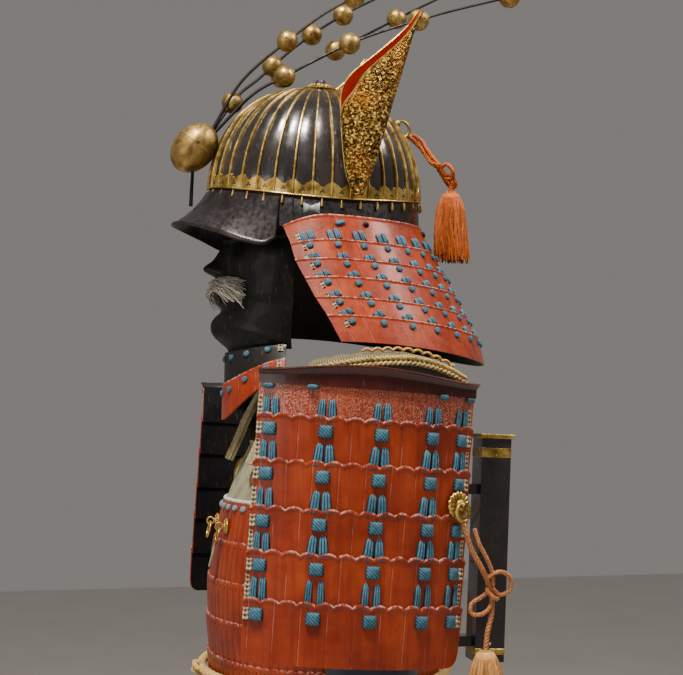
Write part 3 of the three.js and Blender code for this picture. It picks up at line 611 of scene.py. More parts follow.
def cloth(name, low, high):
    """Plain woven hemp, a little faded."""
    p = Paint(name, high, 0.85, 0.0, Sheen_Weight=0.2)
    u, v = p.uv()
    color = p.ramp(p.noise(12, 4, 0.6), [(0.3, low), (0.7, high)])
    slub = p.noise(1.0, 3, 0.6, at=p.place((30, 30, 500)))
    pale = tuple(min(c * 1.9 + 0.01, 1) for c in high)
    p.to("Base Color", p.spots(color, pale, slub, 0.5, 0.5, 0.75))
    first = p.bump(p.sines(u, v, 7.0), 0.5, 0.0005)
    p.bump(p.noise(40, 3), 0.2, 0.002, first)
    return p.mat


def vermilion(name):
    """Matt red lacquer inside the ears."""
    p = Paint(name, (0.66, 0.09, 0.04), 0.4)
    p.bump(p.noise(120, 3), 0.15, 0.001)
    p.to("Base Color", p.ramp(p.noise(20, 3), [(0.3, (0.60, 0.065, 0.028)), (0.7, (0.80, 0.15, 0.085))]))
    return p.mat


# Near-black flat dots that stand for holes: painted shade where the inside of a hole would be.
def dark_hole(name):
    p = Paint(name, (0.004, 0.003, 0.003), 0.8)
    p.bump(p.noise(400), 0.1, 0.0005)
    return p.mat


BLACK = black_gloss("black_lacquer")
BLACK_IN = black_gloss("black_lacquer_inside", rough=0.4, brown=(0.018, 0.013, 0.010), coat=0.1)
MASK_BLACK = black_gloss("mask_lacquer", base=(0.003, 0.004, 0.003), rough=0.45,
                         brown=(0.009, 0.010, 0.007), coat=0.06)
GOLD = gilt("gold")
GOLD_BALL = gilt("gold_ball", dark=(0.15, 0.085, 0.02), mid=(0.38, 0.25, 0.08), light=(0.55, 0.38, 0.13),
                 rough=0.38, bump=0.08)
EAR_GOLD = hammered("ear_gold")
VERMILION = vermilion("ear_vermilion")
IRON = iron("iron", low=(0.016, 0.014, 0.015), high=(0.062, 0.053, 0.056), rough=0.28)
ROD_IRON = iron("rod_iron", low=(0.008, 0.007, 0.007), high=(0.03, 0.025, 0.022), rough=0.42)
SILVERY = iron("silvery_inlay", low=(0.10, 0.11, 0.11), high=(0.30, 0.32, 0.31), rough=0.4)
RED = lacquer_red("red_lacquer", 0.12)
RED_GRAIN_SPARKLE = lacquer_red("red_lacquer_grained_sparkle", 0.75)
RED_NECK = lacquer_red("red_lacquer_neck", 0.3)
RED_PLAIN = lacquer_red("red_lacquer_plain", 0.2, seam=0)
RED_SCALE = lacquer_red("red_lacquer_scales", 0.25, seam=0, rim_highlight_and_wear=0.4)
DARK_RED = black_gloss("dark_red_lacquer", base=(0.032, 0.005, 0.004), rough=0.26,
                       brown=(0.075, 0.010, 0.007), coat=0.25)
BLUE = silk("blue_lacing", (0.002, 0.009, 0.018), (0.034, 0.138, 0.230), (0.105, 0.285, 0.380))
ORANGE = silk("orange_silk", (0.09, 0.010, 0.001), (0.44, 0.080, 0.006), (0.68, 0.18, 0.020))
ORANGE_CORD = silk("orange_cord", (0.10, 0.012, 0.001), (0.44, 0.072, 0.006), (0.64, 0.15, 0.018), ribs=1.6)
PALE = silk("pale_silk", (0.16, 0.05, 0.008), (0.50, 0.22, 0.05), (0.74, 0.42, 0.14))
PALE_CORD = silk("pale_cord", (0.13, 0.025, 0.006), (0.42, 0.13, 0.040), (0.62, 0.27, 0.11), ribs=1.6)
YELLOW = silk("yellow_silk", (0.30, 0.15, 0.03), (0.58, 0.36, 0.09), (0.75, 0.55, 0.22), ribs=1.2)
WHITE_CORD = silk("white_cord", (0.30, 0.26, 0.20), (0.60, 0.56, 0.46), (0.78, 0.75, 0.66), ribs=2.2)
GREY_KNOT = silk("grey_blue_lacing", (0.05, 0.065, 0.08), (0.20, 0.27, 0.30), (0.38, 0.44, 0.45))
CHECK = checked_braid("checked_braid")
GOLD_ROPE = silk("gold_rope", (0.020, 0.010, 0.002), (0.30, 0.19, 0.045), (0.66, 0.50, 0.20), rough=0.4)
GOLD_THREAD = silk("gold_thread", (0.05, 0.02, 0.003), (0.42, 0.20, 0.03), (0.62, 0.36, 0.08), rough=0.4)
HAIR = silk("moustache_hair", (0.16, 0.14, 0.11), (0.48, 0.44, 0.36), (0.74, 0.70, 0.60))
BROCADE = brocade("brocade", (0.030, 0.030, 0.020), (0.12, 0.10, 0.045), (0.40, 0.31, 0.12))
LEATHER = brocade("patterned_leather", (0.24, 0.24, 0.15), (0.38, 0.36, 0.22), (0.52, 0.47, 0.28), scale=0.8)
INDIGO = cloth("indigo_cloth", (0.010, 0.016, 0.032), (0.030, 0.045, 0.080))
BINDING = cloth("dark_binding", (0.010, 0.010, 0.012), (0.022, 0.022, 0.026))
JADE = gilt("pale_drop", dark=(0.12, 0.13, 0.08), mid=(0.30, 0.34, 0.22), light=(0.48, 0.52, 0.36),
            rough=0.4, metal=0.4)
DARK_DOT = dark_hole("dark_hole")


# Shared small forms
def mirrored(build):
    """The same build on the other side of the body."""
    other = Build()
    other.verts = [V((-p.x, p.y, p.z)) for p in build.verts]
    other.uvs, other.shades = list(build.uvs), list(build.shades)
    other.faces, other.mats = [f[::-1] for f in build.faces], list(build.mats)
    return other


def both_sides(*builds):
    """Left builds, and their mirror images for the right."""
    return ("left", *builds), ("right", *[mirrored(b) for b in builds])


def disc(build, at, x, y, radius, mat, sides=10, rise=0.0):
    """A small flat dot in a local frame."""
    base = len(build.verts)
    for a in round_steps(sides):
        build.verts.append(at @ V((x + radius * cos(a), y + radius * sin(a), rise)))
        build.uvs.append((0, 0))
        build.shades.append(1.0)
    build.faces.append(list(range(base, base + sides)))
    build.mats.append(mat)


def rope(build, points, radius, pitch, strands=3, sides=6, closed=False):
    """Twisted strands round a line; the whole is as thick as radius says."""
    lines = [[] for _ in range(strands)]
    for p, side, other, run in frames_along(points, closed):
        for k, line in enumerate(lines):
            a = 2 * pi * (run / pitch + k / strands)
            line.append(p + (side * cos(a) + other * sin(a)) * radius * 0.46)
    for line in lines:
        build.tube(line, radius * 0.54, sides, closed=closed)


def knot(build, at, width, height, rise, strands, n, round_form=False, mat=0):
    """A cross lacing knot: diagonal strands over a domed square or round."""
    def outline(s, t):
        if round_form:
            k = sqrt(max(1 - 0.5 * t * t, 0)), sqrt(max(1 - 0.5 * s * s, 0))
            return s * k[0] * width / 2, t * k[1] * height / 2
        k = 1 - 0.10 * abs(s * t)
        return s * k * width / 2, t * k * height / 2

    def ridge(s, t):
        return abs(sin(pi * strands * (s + t + 0.15) / 2))

    def out(s, t):
        dome = (1 - max(abs(s), abs(t)) ** 4) ** 0.5
        return -0.4 + dome * (rise * (1 - 0.18 * (s * s + t * t)) + 0.95 * ridge(s, t))

    # dark() gives the painted shade: darker in the grooves between strands and towards the knot's edge.
    def dark(s, t):
        dome = 1 - max(abs(s), abs(t)) ** 6
        return min(1, (0.05 + ridge(s, t)) * (0.1 + dome))
    build.patch(at, n, n, out, dark, outline, mat)


PAIR_FLUTES = 3.5


def pair(build, at, width, height, rise, splay, gap, nx, ny):
    """Two lacing cords side by side, wide at the foot and rounded at the head."""
    half = (width - gap) / 4

    def ridge(s):
        return abs(cos(pi * PAIR_FLUTES * s / 2))

    def out(s, t):
        up = (t + 1) / 2
        cap = (1 - smooth(up, 0.75, 1.0) ** 2) if up > 0.75 else 1
        dome = (1 - abs(s) ** 3) ** 0.5
        return -0.4 + cap * dome * (rise * (0.75 + 0.25 * sin(pi * up)) + 0.9 * ridge(s))

    # dark() gives the painted shade: darker in the flutes, at the cords' sides and towards the foot, where
    # the cords go under the next lame.
    def dark(s, t):
        foot = mix(0.45, 1.0, smooth((t + 1) / 2, 0.0, 0.35))
        return min(1, (0.02 + ridge(s)) * foot * (1.1 - abs(s) ** 6))
    for sign in (-1, 1):
        def outline(s, t, sign=sign):
            up = (t + 1) / 2
            narrow = mix(1.0, 0.80, up) * (1 - 0.62 * smooth(up, 0.72, 1.0) ** 1.5)
            middle = sign * (gap / 2 + half) * mix(1 + 0.12 * splay, 1 - 0.22 * splay, up)
            return middle + s * half * narrow * (1 + 0.14 * splay * (1 - up)), t * height / 2
        build.patch(at, nx, ny, out, dark, outline)


def braid_bit(build, at, width, height, v0=0.0):
    """A short piece of checked braid over a lame's edge."""
    def out(s, t):
        return -0.3 + 1.8 * ((1 - abs(s) ** 3) ** 0.5) * (0.8 + 0.2 * cos(6 * pi * t))

    def outline(s, t):
        return s * width / 2 * (0.92 + 0.08 * cos(height * 0.8 * t)), t * height / 2
    build.patch(at, 6, 8, out, lambda s, t: 1.0, outline, mat=1, uv0=(0, v0))


STRANDS, GOLDEN_SHARE = 230, 0.61803
STRAND_RADII = [1.1, 1.3, 1.25, 1.25, 1.2, 1.2, 1.2, 1.1, 0.6]


def tassel(name, top, head, spread, length, sway, material, slot, place, node, seed):
    """Twisted strands of random length hanging from a bound head over a full core."""
    rng = random.Random(seed)
    b = Build()
    top, sway = V(top), V(sway)
    # Painted shade: the narrow waist under the bound head is given a low shade value.
    b.turn([(0.1, 0), (head * 0.45, -0.4), (head * 0.8, -2.5), (head, -7), (head, -13), (head * 0.84, -17),
            (head * 0.95, -19)], 28, top, (0, 0, 1), wave=lambda k, j: 1 + 0.03 * (k % 2),
           shades=[1, 1, 0.9, 1, 0.9, 0.25, 0.6])
    for z in (-14.6, -16.6):
        b.tube([top + V((cos(a) * head * 0.93, sin(a) * head * 0.93, z)) for a in round_steps(20)],
               1.1, 6, closed=True, shade=0.9)
    core = [(head * 0.80, -17), (mix(head, spread, 0.45), -17 - (length - 17) * 0.3),
            (spread * 0.86, -17 - (length - 17) * 0.65), (spread * 0.84, -length + 6),
            (spread * 0.3, -length + 3)]
    # The core is painted nearly black: painted shade among the strands.
    b.turn(core[::-1], 24, top, (0, 0, 1), shades=[0.0, 0.05, 0.15, 0.2, 0.3])
    for i in range(STRANDS):
        ring = rng.choice((1.0, 1.0, 0.97, 0.9, 0.7))
        a = 2 * pi * (i * GOLDEN_SHARE)
        drop = length * rng.uniform(0.88, 1.0)
        wobble = rng.uniform(-0.16, 0.16)
        kink = rng.uniform(0, 6.28)
        line = []
        for k, t in enumerate(steps(8)):
            bell = head * 1.04 + (spread * ring - head * 1.04) * (1 - (1 - t) ** 2.0)
            if k < 2:
                bell = head * (0.35, 0.98)[k]
            bell += 0.9 * sin(kink + 9 * t) * t
            angle = a + wobble * sin(t * 7 + i)
            hang = V((cos(angle) * bell, sin(angle) * bell, 0.6 - (drop + 0.6) * t))
            line.append(top + hang + sway * t * t)
        b.tube(line, STRAND_RADII, 4, caps=False, shade=rng.uniform(0.35, 1.0))
    return b.make(name, [material], slot, place=place, stand_for=(node,), angle=60)


# Cords, first
HELMET_TILT, HELMET_ROLL, GUARD_LEAN = 2.3, 4, 4  # degrees
PLACE = (Matrix.Translation((0, 4.5, 199)) @ Matrix.Rotation(-radians(HELMET_TILT), 4, "X")
         @ Matrix.Rotation(radians(HELMET_ROLL), 4, "Y"))
LEAN = Matrix.Rotation(-radians(GUARD_LEAN), 4, "X")
SODE_X, SODE_Y, SODE_R, SODE_HALF, SODE_TOP = 82, 12, 203, 31.5, -22


def arc(u, z, out):
    """A point on a shoulder guard's curve, z down from the top lame's head."""
    turn = radians(mix(-SODE_HALF, SODE_HALF, u))
    return LEAN @ V((SODE_X + (SODE_R + out) * cos(turn), SODE_Y + (SODE_R + out) * sin(turn),
                     SODE_TOP - z))


BOSS_TURN = radians(27)
BOSS = arc(0.93, 112, 5.5)
BOSS_AWAY = V((cos(BOSS_TURN), sin(BOSS_TURN), 0))
BOSS_RING, BOSS_RING_RADIUS = BOSS + BOSS_AWAY * 7 + V((0, 0, -7)), 8.5


def make_cord(name, points, radius, material, slot, node):
    """One hanging cord: a twisted rope along a curve through the points."""
    line = curve_points(points, 60)
    b = Build()
    rope(b, line, radius, 11.0)
    obj = b.make(name, [material], slot, stand_for=(node,), angle=80)
    path = [tuple(p * MM) for p in line]
    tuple(path[0])
    route_length(line) * MM


HELMET_CORD = [(0, 111, 86.7), (3, 124, 76), (8, 131, 66), (14, 137, 56), (20, 147, 48), (19, 153, 38),
               (21, 160.5, 30), (21, 161, 21.4)]
HELMET_LOOPS = [
    [(14, 138, 57), (6, 141, 62), (2, 148, 56), (7, 151, 47), (15, 146, 47), (21, 143, 51)],
    [(20, 147, 48), (28, 151, 53), (32, 158, 46), (27, 160, 37), (20, 154, 38), (15, 149, 43)],
    [(19, 150, 42), (24, 157, 40), (28, 163, 34), (24, 165, 28), (18, 161, 28), (17, 155, 34)],
]
HELMET_SECOND = [(2, 116, 88), (6, 125, 82), (12, 131, 71), (17, 138, 60), (22, 145, 52)]
GUARD_CORD = [(272, 110, -185), (270, 122, -206), (264, 132, -226), (262, 133, -246), (261, 129, -264),
              (260, 127, -283)]
GUARD_LOOPS = [
    [(268, 126, -214), (272, 138, -206), (270, 149, -212), (268, 150, -224), (266, 141, -229),
     (264, 133, -224)],
    [(264, 131, -226), (263, 121, -232), (262, 112, -238), (262, 112, -247), (263, 122, -248),
     (264, 131, -240)],
    [(265, 128, -221), (260, 134, -224), (261, 139, -229), (266, 137, -233), (268, 131, -230),
     (267, 127, -225)],
]
GUARD_SECOND = [(274, 112, -164), (275, 116, -178), (273, 124, -192), (270, 131, -207), (267, 133, -220)]


def tied(loops, second, cuts, radius):
    """The tied loops of a cord and its second hanging end."""
    b = Build()
    for points in loops:
        rope(b, curve_points(points, cuts, closed=True), radius, 9.0, closed=True)
    rope(b, curve_points(second, 30), radius - 0.1, 9.0)
    return b


def make_cords():
    hanging = tassel("helmet_tassel_silk", (21, 161, 21), 12, 19.5, 84, (2, 5, 0), ORANGE, "orange_silk",
                     PLACE, "helmet_tassel", 5)
    bow = tied(HELMET_LOOPS, HELMET_SECOND, 36, 2.7).make(
        "helmet_cord_loops", [ORANGE_CORD], "orange_silk", place=PLACE, angle=80)
    make_cord("helmet_cord_silk", [PLACE @ V(p) for p in HELMET_CORD], 3.5, ORANGE_CORD, "orange_silk",
              "helmet_cord")
    route = [BOSS_RING + V((0, 0, -10.7))] + [V(p) for p in GUARD_CORD]
    loops = tied(GUARD_LOOPS, GUARD_SECOND, 34, 2.5)
    for (side, b), sign in zip(both_sides(loops), (1, -1)):
        flip = Matrix.Diagonal((sign, 1, 1, 1))
        hanging = tassel(f"{side}_guard_tassel_silk", flip @ V((260, 127, -283.6)), 11, 19, 86, (0, 0, 0),
                         PALE, "pale_silk", None, f"{side}_guard_tassel", 11)
        bow = b.make(f"{side}_guard_cord_loops", [PALE_CORD], "pale_silk", angle=80)
        make_cord(f"{side}_guard_cord_silk", [flip @ p for p in route], 3.0, PALE_CORD, "pale_silk",
                  f"{side}_guard_cord")


make_cords()


# Helmet
HALF_WIDTH, HALF_LENGTH, HEIGHT, CROWN, FULLNESS, RIBS = 104, 121.5, 128, 1.46, 0.85, 36
RIM_WAVE = 5.5


def rim_lift(turn):
    return -RIM_WAVE * cos(2 * turn)


def bowl(u, v):
    turn, rise = 2 * pi * u, v * CROWN
    reach = cos(rise) ** FULLNESS
    return V((HALF_WIDTH * reach * cos(turn), HALF_LENGTH * reach * sin(turn),
              HEIGHT * sin(rise) + rim_lift(turn) * (1 - v)))


def rise_of(height):
    """The share of the bowl's rise at a height."""
    return asin(height / HEIGHT) / CROWN


def panel_face(u, v):
    """Height of the bowl's outside between two ribs."""
    return 2 + 1.1 * sin(pi * ((u * RIBS) % 1)) * mix(1, 0.4, min(max(v, 0), 1))


def make_bowl():
    b = Build()
    add_wall(b, bowl, ring_steps(RIBS * 10), steps(22), panel_face, closed=True, mats=(0, 1, 0))
    b.make("bowl_panels", [BLACK, BLACK_IN], "black_lacquer", place=PLACE, stand_for=("helmet_bowl",))
    ribs = Build()
    for k in range(RIBS):
        rows = []
        for v in steps(26, 0.004, 0.985):
            at = frame_at(bowl, k / RIBS, v)
            high = 2 + mix(3, 1, v) + 0.3
            half = mix(1.35, 0.7, v)
            rows.append([at @ V(p) for p in ((-half, 0, 1.6), (-half, 0, high - 0.7), (-half * 0.5, 0, high),
                                             (half * 0.5, 0, high), (half, 0, high - 0.7), (half, 0, 1.6))])
        ribs.grid(rows)
    ribs.make("bowl_ribs", [GOLD], "gold", place=PLACE, angle=50)


def make_band():
    def height(u):
        share = abs((u * RIBS) % 1 - 0.5) * 2
        return 10.2 + 7.6 * share ** 1.5 + 1.3 * exp(-((share - 0.42) / 0.12) ** 2)

    def surface(u, v):
        return bowl(u, mix(rise_of(0.6), rise_of(height(u)), v))

    def face(u, v):
        return 2 + 1.1 * sin(pi * ((u * RIBS) % 1)) + 1.75
    b = Build()
    add_wall(b, surface, ring_steps(RIBS * 16), steps(4), face, lambda u, v: face(u, v) - 1.4, closed=True)
    for k in range(RIBS):
        at = frame_at(bowl, (k + 0.5) / RIBS, rise_of(5.4), 4.95)
        for x, y in ((0, 1.7), (-1.7, -0.5), (1.7, -0.5)):
            disc(b, at, x, y, 1.05, mat=1)
        disc(b, at, 0, 0.1, 0.7, mat=1, rise=0.02)
    b.make("bowl_band", [GOLD, DARK_DOT], "gold", place=PLACE, stand_for=("helmet_band",))
    rim = Build()
    rim.tube([V(((HALF_WIDTH + 4.4) * cos(a), (HALF_LENGTH + 4.4) * sin(a), rim_lift(a) - 0.2))
              for a in round_steps(120)], 1.0, 8, closed=True)
    for k in range(RIBS):
        a = 2 * pi * (k + 0.5) / RIBS
        out = V((cos(a), sin(a), 0))
        root = V(((HALF_WIDTH + 5.6) * cos(a), (HALF_LENGTH + 5.0) * sin(a), rim_lift(a) - 2.4))
        line = [root, root + out * 0.5 + V((0, 0, -3)), root + out * 1.0 + V((0, 0, -6.5)),
                root + out * 1.1 + V((0, 0, -8.5))]
        rim.tube(line, [0.9, 1.1, 1.7, 1.5], 8)
    rim.make("bowl_rim_and_pegs", [GOLD], "gold", place=PLACE)


def base_depth(turn):
    """Depth of the lower band, less at the front above the mask."""
    forward = -sin(turn)
    return mix(33, 15, smooth(forward, 0.5, 0.62)) + 8 * exp(-((forward - 0.38) / 0.12) ** 2)


def base_surface(u, v):
    turn = 2 * pi * u
    down = mix(base_depth(turn), 1.05, v)
    share = min(down / 25, 1)
    return V(((HALF_WIDTH + share * 6.6) * cos(turn), (HALF_LENGTH + share * 2.4) * sin(turn),
              rim_lift(turn) * v - down))


def make_base():
    b = Build()
    add_wall(b, base_surface, ring_steps(128), steps(6), 2, closed=True)
    b.make("helmet_base_iron", [IRON], "iron", place=PLACE, stand_for=("helmet_base",))
    trim = Build()
    for u in (-0.055, 0.555):
        trim.tube([offset(base_surface, u, v, 2.2) for v in steps(8, 0.02, 0.98)], 0.9, 6)
    at = frame_at(base_surface, -0.0285, 0.52, 2.0)

    def bow(s, t):
        return s * 9, t * (3.0 + 3.4 * abs(s))
    trim.patch(at, 10, 6, lambda s, t: 0.9 * (1 - t * t) ** 0.5 + 0.3 * abs(sin(4 * s)),
               lambda s, t: 1.0, bow, mat=1)
    trim.make("helmet_base_trim", [IRON, SILVERY], "iron", place=PLACE)


def make_crown():
    b = Build()
    base = (0, 0, HEIGHT + 2.6)
    b.turn([(0.1, 0), (21, 0), (21.6, 1), (19, 2.2), (15, 3.2), (9, 4), (8.5, 5)], 64, base, (0, 0, 1),
           wave=lambda k, j: 1 + (0.035 * cos(16 * 2 * pi * k / 64) if 0 < j < 4 else 0))
    for ring, count, size, z in ((13.5, 16, 2.4, 3.8), (10.2, 14, 1.9, 5.6)):
        for a in round_steps(count):
            b.ball((base[0] + ring * cos(a), base[1] + ring * sin(a), base[2] + z), size, 10, 7)
    b.turn([(7.5, 4), (9.2, 6.5), (8.0, 9), (6.0, 10), (5.4, 12), (4.6, 12.4), (3.6, 11.8), (0.1, 11.2)], 40,
           base, (0, 0, 1), mat=1, wave=lambda k, j: 1 + 0.05 * cos(10 * 2 * pi * k / 40))
    b.make("crown_petals", [GOLD, BLACK], "gold", place=PLACE, stand_for=("crown_fitting",))


VISOR_EDGE = [(-106, -59, -55), (-104, -71, -63), (-98, -93, -61), (-80, -122, -51), (-45, -153, -42),
              (0, -165, -41), (45, -153, -42), (80, -122, -51), (98, -93, -61), (104, -71, -63),
              (106, -59, -55)]
VISOR_LIP = curve_points(VISOR_EDGE, 240)
VISOR_END_TURNS = (-154, -26)


def visor_surface(u, v):
    turn = radians(mix(*VISOR_END_TURNS, u))
    root = V(((HALF_WIDTH + 3.4) * cos(turn), (HALF_LENGTH + 3.4) * sin(turn), rim_lift(turn) - 4))
    sweep = point_along(VISOR_LIP, u).lerp(root, v)
    hollow = 6 * sin(pi * v) * max(sin(turn) ** 2 - 0.3, 0)
    return sweep + V((-hollow * cos(turn), -hollow * sin(turn), -0.3 * hollow))


def make_visor():
    b = Build()
    vs = [0.01, 0.025, 0.045, 0.07, 0.09] + steps(14, 0.12, 0.985)

    def face(u, v):
        return 2 + 1.7 * exp(-((v - 0.04) / 0.028) ** 2)
    add_wall(b, visor_surface, steps(90, 0.003, 0.997), vs, face)
    for u in (0.006, 0.994):
        b.tube([offset(visor_surface, u, v, 2.2) for v in steps(12, 0.02, 0.97)], 1.1, 6)
    b.make("visor_iron", [IRON], "iron", place=PLACE, stand_for=("visor",))


# Each rod: the shares of its length that carry a bead, and its way.
RODS = [
    ([0.6, 1], [(2, -127, 69), (1, -97, 128), (3, -79, 150), (6, -53, 175), (9, -1, 220), (12, 33, 242)]),
    ([0.15, 0.36, 0.56, 0.72, 1], [(-5, -127, 68), (-12, -93, 121), (-19, -73, 140), (-27, -33, 181),
                                   (-33, -1, 209), (-39, 37, 237), (-49, 108, 280)]),
    ([0.3, 0.5, 0.74, 1], [(-7, -126, 66), (-20, -75, 125), (-34, -46, 146), (-46, -16, 166), (-56, 43, 203),
                           (-76, 129, 258), (-87, 198, 299)]),
    ([0.29, 0.5, 0.72, 1], [(3, -126, 66), (9, -78, 120), (18, -41, 143), (23, -6, 165), (29, 38, 189),
                            (43, 124, 223), (53, 210, 251)]),
]
BALL_CENTRE, BALL_RADIUS, BALL_LENGTH, BALL_TILT = V((0, -143.9, 51.5)), 24, 32, 38
BEAD = 12.5


def make_crest():
    b = Build()
    tilt = Matrix.Rotation(-radians(BALL_TILT), 4, "X")
    b.ball((0, 0, 0), 1, 48, 30, squash=(BALL_RADIUS, BALL_RADIUS, BALL_LENGTH))
    b.verts = [tilt @ p + BALL_CENTRE for p in b.verts]
    seam = [BALL_CENTRE + tilt @ V((24.1 * cos(a), 24.1 * sin(a), 2)) for a in round_steps(60)]
    b.tube(seam, 0.35, 6, closed=True, shade=0.5)
    hole = BALL_CENTRE + V((23.4, 2.0, 3.5))
    disc(b, Matrix.Translation(hole) @ facing(V((1, 0.08, 0.15)).normalized()), 0, 0, 1.4, 2, rise=0.8)
    b.tube([V((0, -144.5, z)) for z in (-16, 6, 27)], [4.4, 4.0, 3.6], 10, mat=1, flat=0.5)
    rng = random.Random(3)
    profile = [(0.2, 0.3 - BEAD), (3, -0.1 - BEAD)] + [
        (BEAD * cos(a), BEAD * sin(a)) for a in steps(16, -1.28, 1.28)] + [
        (3, BEAD + 0.1), (0.2, BEAD - 0.3)]
    for shares, route in RODS:
        line = curve_points(route, 60)
        b.tube(line, [mix(1.9, 1.25, i / 60) for i in range(61)], 8, mat=1)
        for share in shares:
            p = line[int(round(share * 60))]
            ahead = (line[min(int(share * 60) + 1, 60)] - line[max(int(share * 60) - 2, 0)]).normalized()
            b.turn(profile, 30, p, ahead)
            b.turn([(12.62, -0.35), (12.72, 0), (12.62, 0.35)], 30, p, ahead, shades=[0.5] * 3)
            look_way = V((1, rng.uniform(-0.5, 0.5), rng.uniform(-0.4, 0.5))).normalized()
            disc(b, Matrix.Translation(p) @ facing(look_way), 0, 0, 1.0, 2, rise=12.58)
    b.make("crest_ball_and_whiskers", [GOLD_BALL, ROD_IRON, DARK_DOT], "gold", place=PLACE,
           stand_for=("front_crest",))


# Cross sections of an ear from root to tip: middle, half width, depth and the angle of the near edge.
EAR = table("rise x y z across deep near", [
    (0, 112.6, 28, -2, 4, 4, -90), (0.12, 115.8, 27, 25, 7, 14, -92), (0.38, 121, 29, 80, 13, 25, -90),
    (0.52, 122, 31, 107, 15, 29, -40), (0.64, 124, 38, 128, 15, 27, -31), (0.76, 127, 53, 151, 11, 17, -22),
    (0.9, 130, 72, 181, 5, 5, 6), (1, 133, 84, 204, 1.6, 1.6, 20)])
EAR_FAR_EDGE = 255


def ear_surface(u, v):
    x, y, z, across, deep, near = (look_round(EAR, "rise", v, name) for name in
                                   ("x", "y", "z", "across", "deep", "near"))
    turn = radians(mix(near, EAR_FAR_EDGE, u))
    return V((x + across * cos(turn), y + deep * sin(turn), z))


def make_ears():
    b = Build()
    add_wall(b, ear_surface, steps(40), steps(60, 0.005, 0.995), 1.2, mats=(0, 1, 2))
    for u in (0.0, 1.0):
        b.tube([offset(ear_surface, u, v, 0.6) for v in steps(60, 0.01, 0.99)], 1.15, 6,
               mat=2)
    disc(b, frame_at(ear_surface, 0.22, 0.06, 1.3), 0, 0, 2.4, mat=3)
    for side, part in both_sides(b):
        part.make(f"ear_{side}_leaf", [EAR_GOLD, VERMILION, GOLD, DARK_DOT], "gold", place=PLACE,
                  stand_for=(f"ear_{side}",))


def make_rear_ring():
    b = Build()
    eye = bowl(0.25, 0.56)
    b.turn([(0.1, 0), (7, 0.6), (7, 2.6), (4, 4), (3, 12), (0.1, 12.6)], 24, eye, (0, 1, 0.5),
           wave=lambda k, j: 1 + (0.1 * cos(pi * k / 2) if j in (1, 2) else 0))
    b.tube([V((0, eye.y + 13 + 10 * sin(a), eye.z - 2.1 + 10 * cos(a)))
            for a in round_steps(40)], 1.8, 10, closed=True)
    b.make("helmet_rear_ring", [GOLD], "gold", place=PLACE)


# Foot lines of the lames: half width, rear reach, middle, front angle, height, and its rear and front dips.
NECK = table("level side back centre front z zBack zFront", [
    (0, 110.5, 123.5, 0, -24, -25, -1, -18), (1, 125, 136, 4, -20.5, -53, -2, -12),
    (2, 137, 148, 8, -19, -74, -6, -8), (3, 149, 158, 12, -16, -94, -10, -8),
    (4, 162, 168, 16, -13, -116, -13, -7), (5, 174, 178, 20, -10, -135, -17, -7),
    (6, 190, 184, 25, -7, -163, -21, -7)])


def neck_surface(lame):
    foot = lame + 1 + (0.2 if lame < 5 else 0)

    def surface(u, v):
        level = mix(foot, lame, v)
        side, back, centre, front, z, z_back, z_front = (
            look(NECK, "level", level, name) for name in
            ("side", "back", "centre", "front", "z", "zBack", "zFront"))
        turn = radians(mix(front, 180 - front, u))
        sine = sin(turn)
        dip = z_back * sine * sine if sine > 0 else z_front * (sine / sin(radians(26))) ** 2
        outside = 3 * v
        return V(((side + outside) * cos(turn), centre + (back + outside) * sine, z + dip))
    return surface


def make_neck():
    lacing = Build()
    columns = [0.036] + [0.036 + 0.928 * k / 17 for k in range(1, 17)] + [0.964]
    knob = [(3.6, 0), (3.4, 1.4), (2.4, 2.6), (0.1, 3.1)]
    for lame in range(6):
        surface = neck_surface(lame)
        height = (surface(0.5, 1) - surface(0.5, 0)).length
        width = 2 * pi * look(NECK, "level", lame + 0.5, "side") * 0.62
        b = Build()

        def face(u, v):
            return 1.5 + 0.9 * smooth(v, 0.90, 0.97) * (1 - 0.55 * smooth(v, 0.97, 1.0))
        vs = [0, 0.03] + steps(6, 0.1, 0.86) + [0.9, 0.93, 0.96, 0.985, 1.0]
        # The shade value paints shade towards the foot of each lame but the last, above the next lame's
        # head.
        add_wall(b, surface, steps(110), vs, face, uv=lambda u, v: (u * width + lame * 7, (1 - v) * height),
                 mats=(0, 1, 0), shade=lambda u, v: 1.0 - 0.6 * smooth(0.17 - v, 0, 0.17) * (lame < 5))
        name = f"neck_lame_{lame + 1}"
        skin = RED_NECK if lame in (0, 5) else RED
        b.make(name + "_lacquer", [skin, BLACK_IN], "red_lacquer", place=PLACE, stand_for=(name,))
        for k, u in enumerate(columns):
            end = k in (0, len(columns) - 1)
            inward = 1 if k == 0 else -1
            if lame:
                at = frame_at(surface, u, 1 - 8.2 / height, 1.5)
                knot(lacing, at, 8.2, 8.4, 2.6, 3, 12, round_form=True)
                if end:
                    step = Matrix.Translation((-inward * 6.4, 0, 0))
                    braid_bit(lacing, at @ step, 4.6, 7.5)
            if lame < 5:
                tall = 14 if lame == 0 else 8.5
                wide = 15.5 if lame == 0 else 13
                at = frame_at(surface, u, 0.1667 + (tall * 0.5 - 1.0) / height, 1.6)
                pair(lacing, at, wide, tall, 2.2, 0.05 if lame == 0 else 0.8, 0.0, 16, 6)
                if end:
                    step = Matrix.Translation((-inward * (wide / 2 + 1.6), 0, 0))
                    braid_bit(lacing, at @ step, 4.6, tall)
    top = neck_surface(0)
    for u in (0.115, 0.885):
        knot(lacing, frame_at(top, u, 0.72, 1.5), 13, 6.5, 3.0, 4, 10, round_form=True)
    for u in (0.175, 0.40, 0.60, 0.825):
        at = frame_at(top, u, 0.74, 1.5)
        lacing.turn(knob, 16, at.translation, at.to_3x3() @ V((0, 0, 1)), mat=2)
    lacing.make("neck_guard_lacing", [BLUE, CHECK, ROD_IRON], "indigo_cloth", place=PLACE, angle=70)


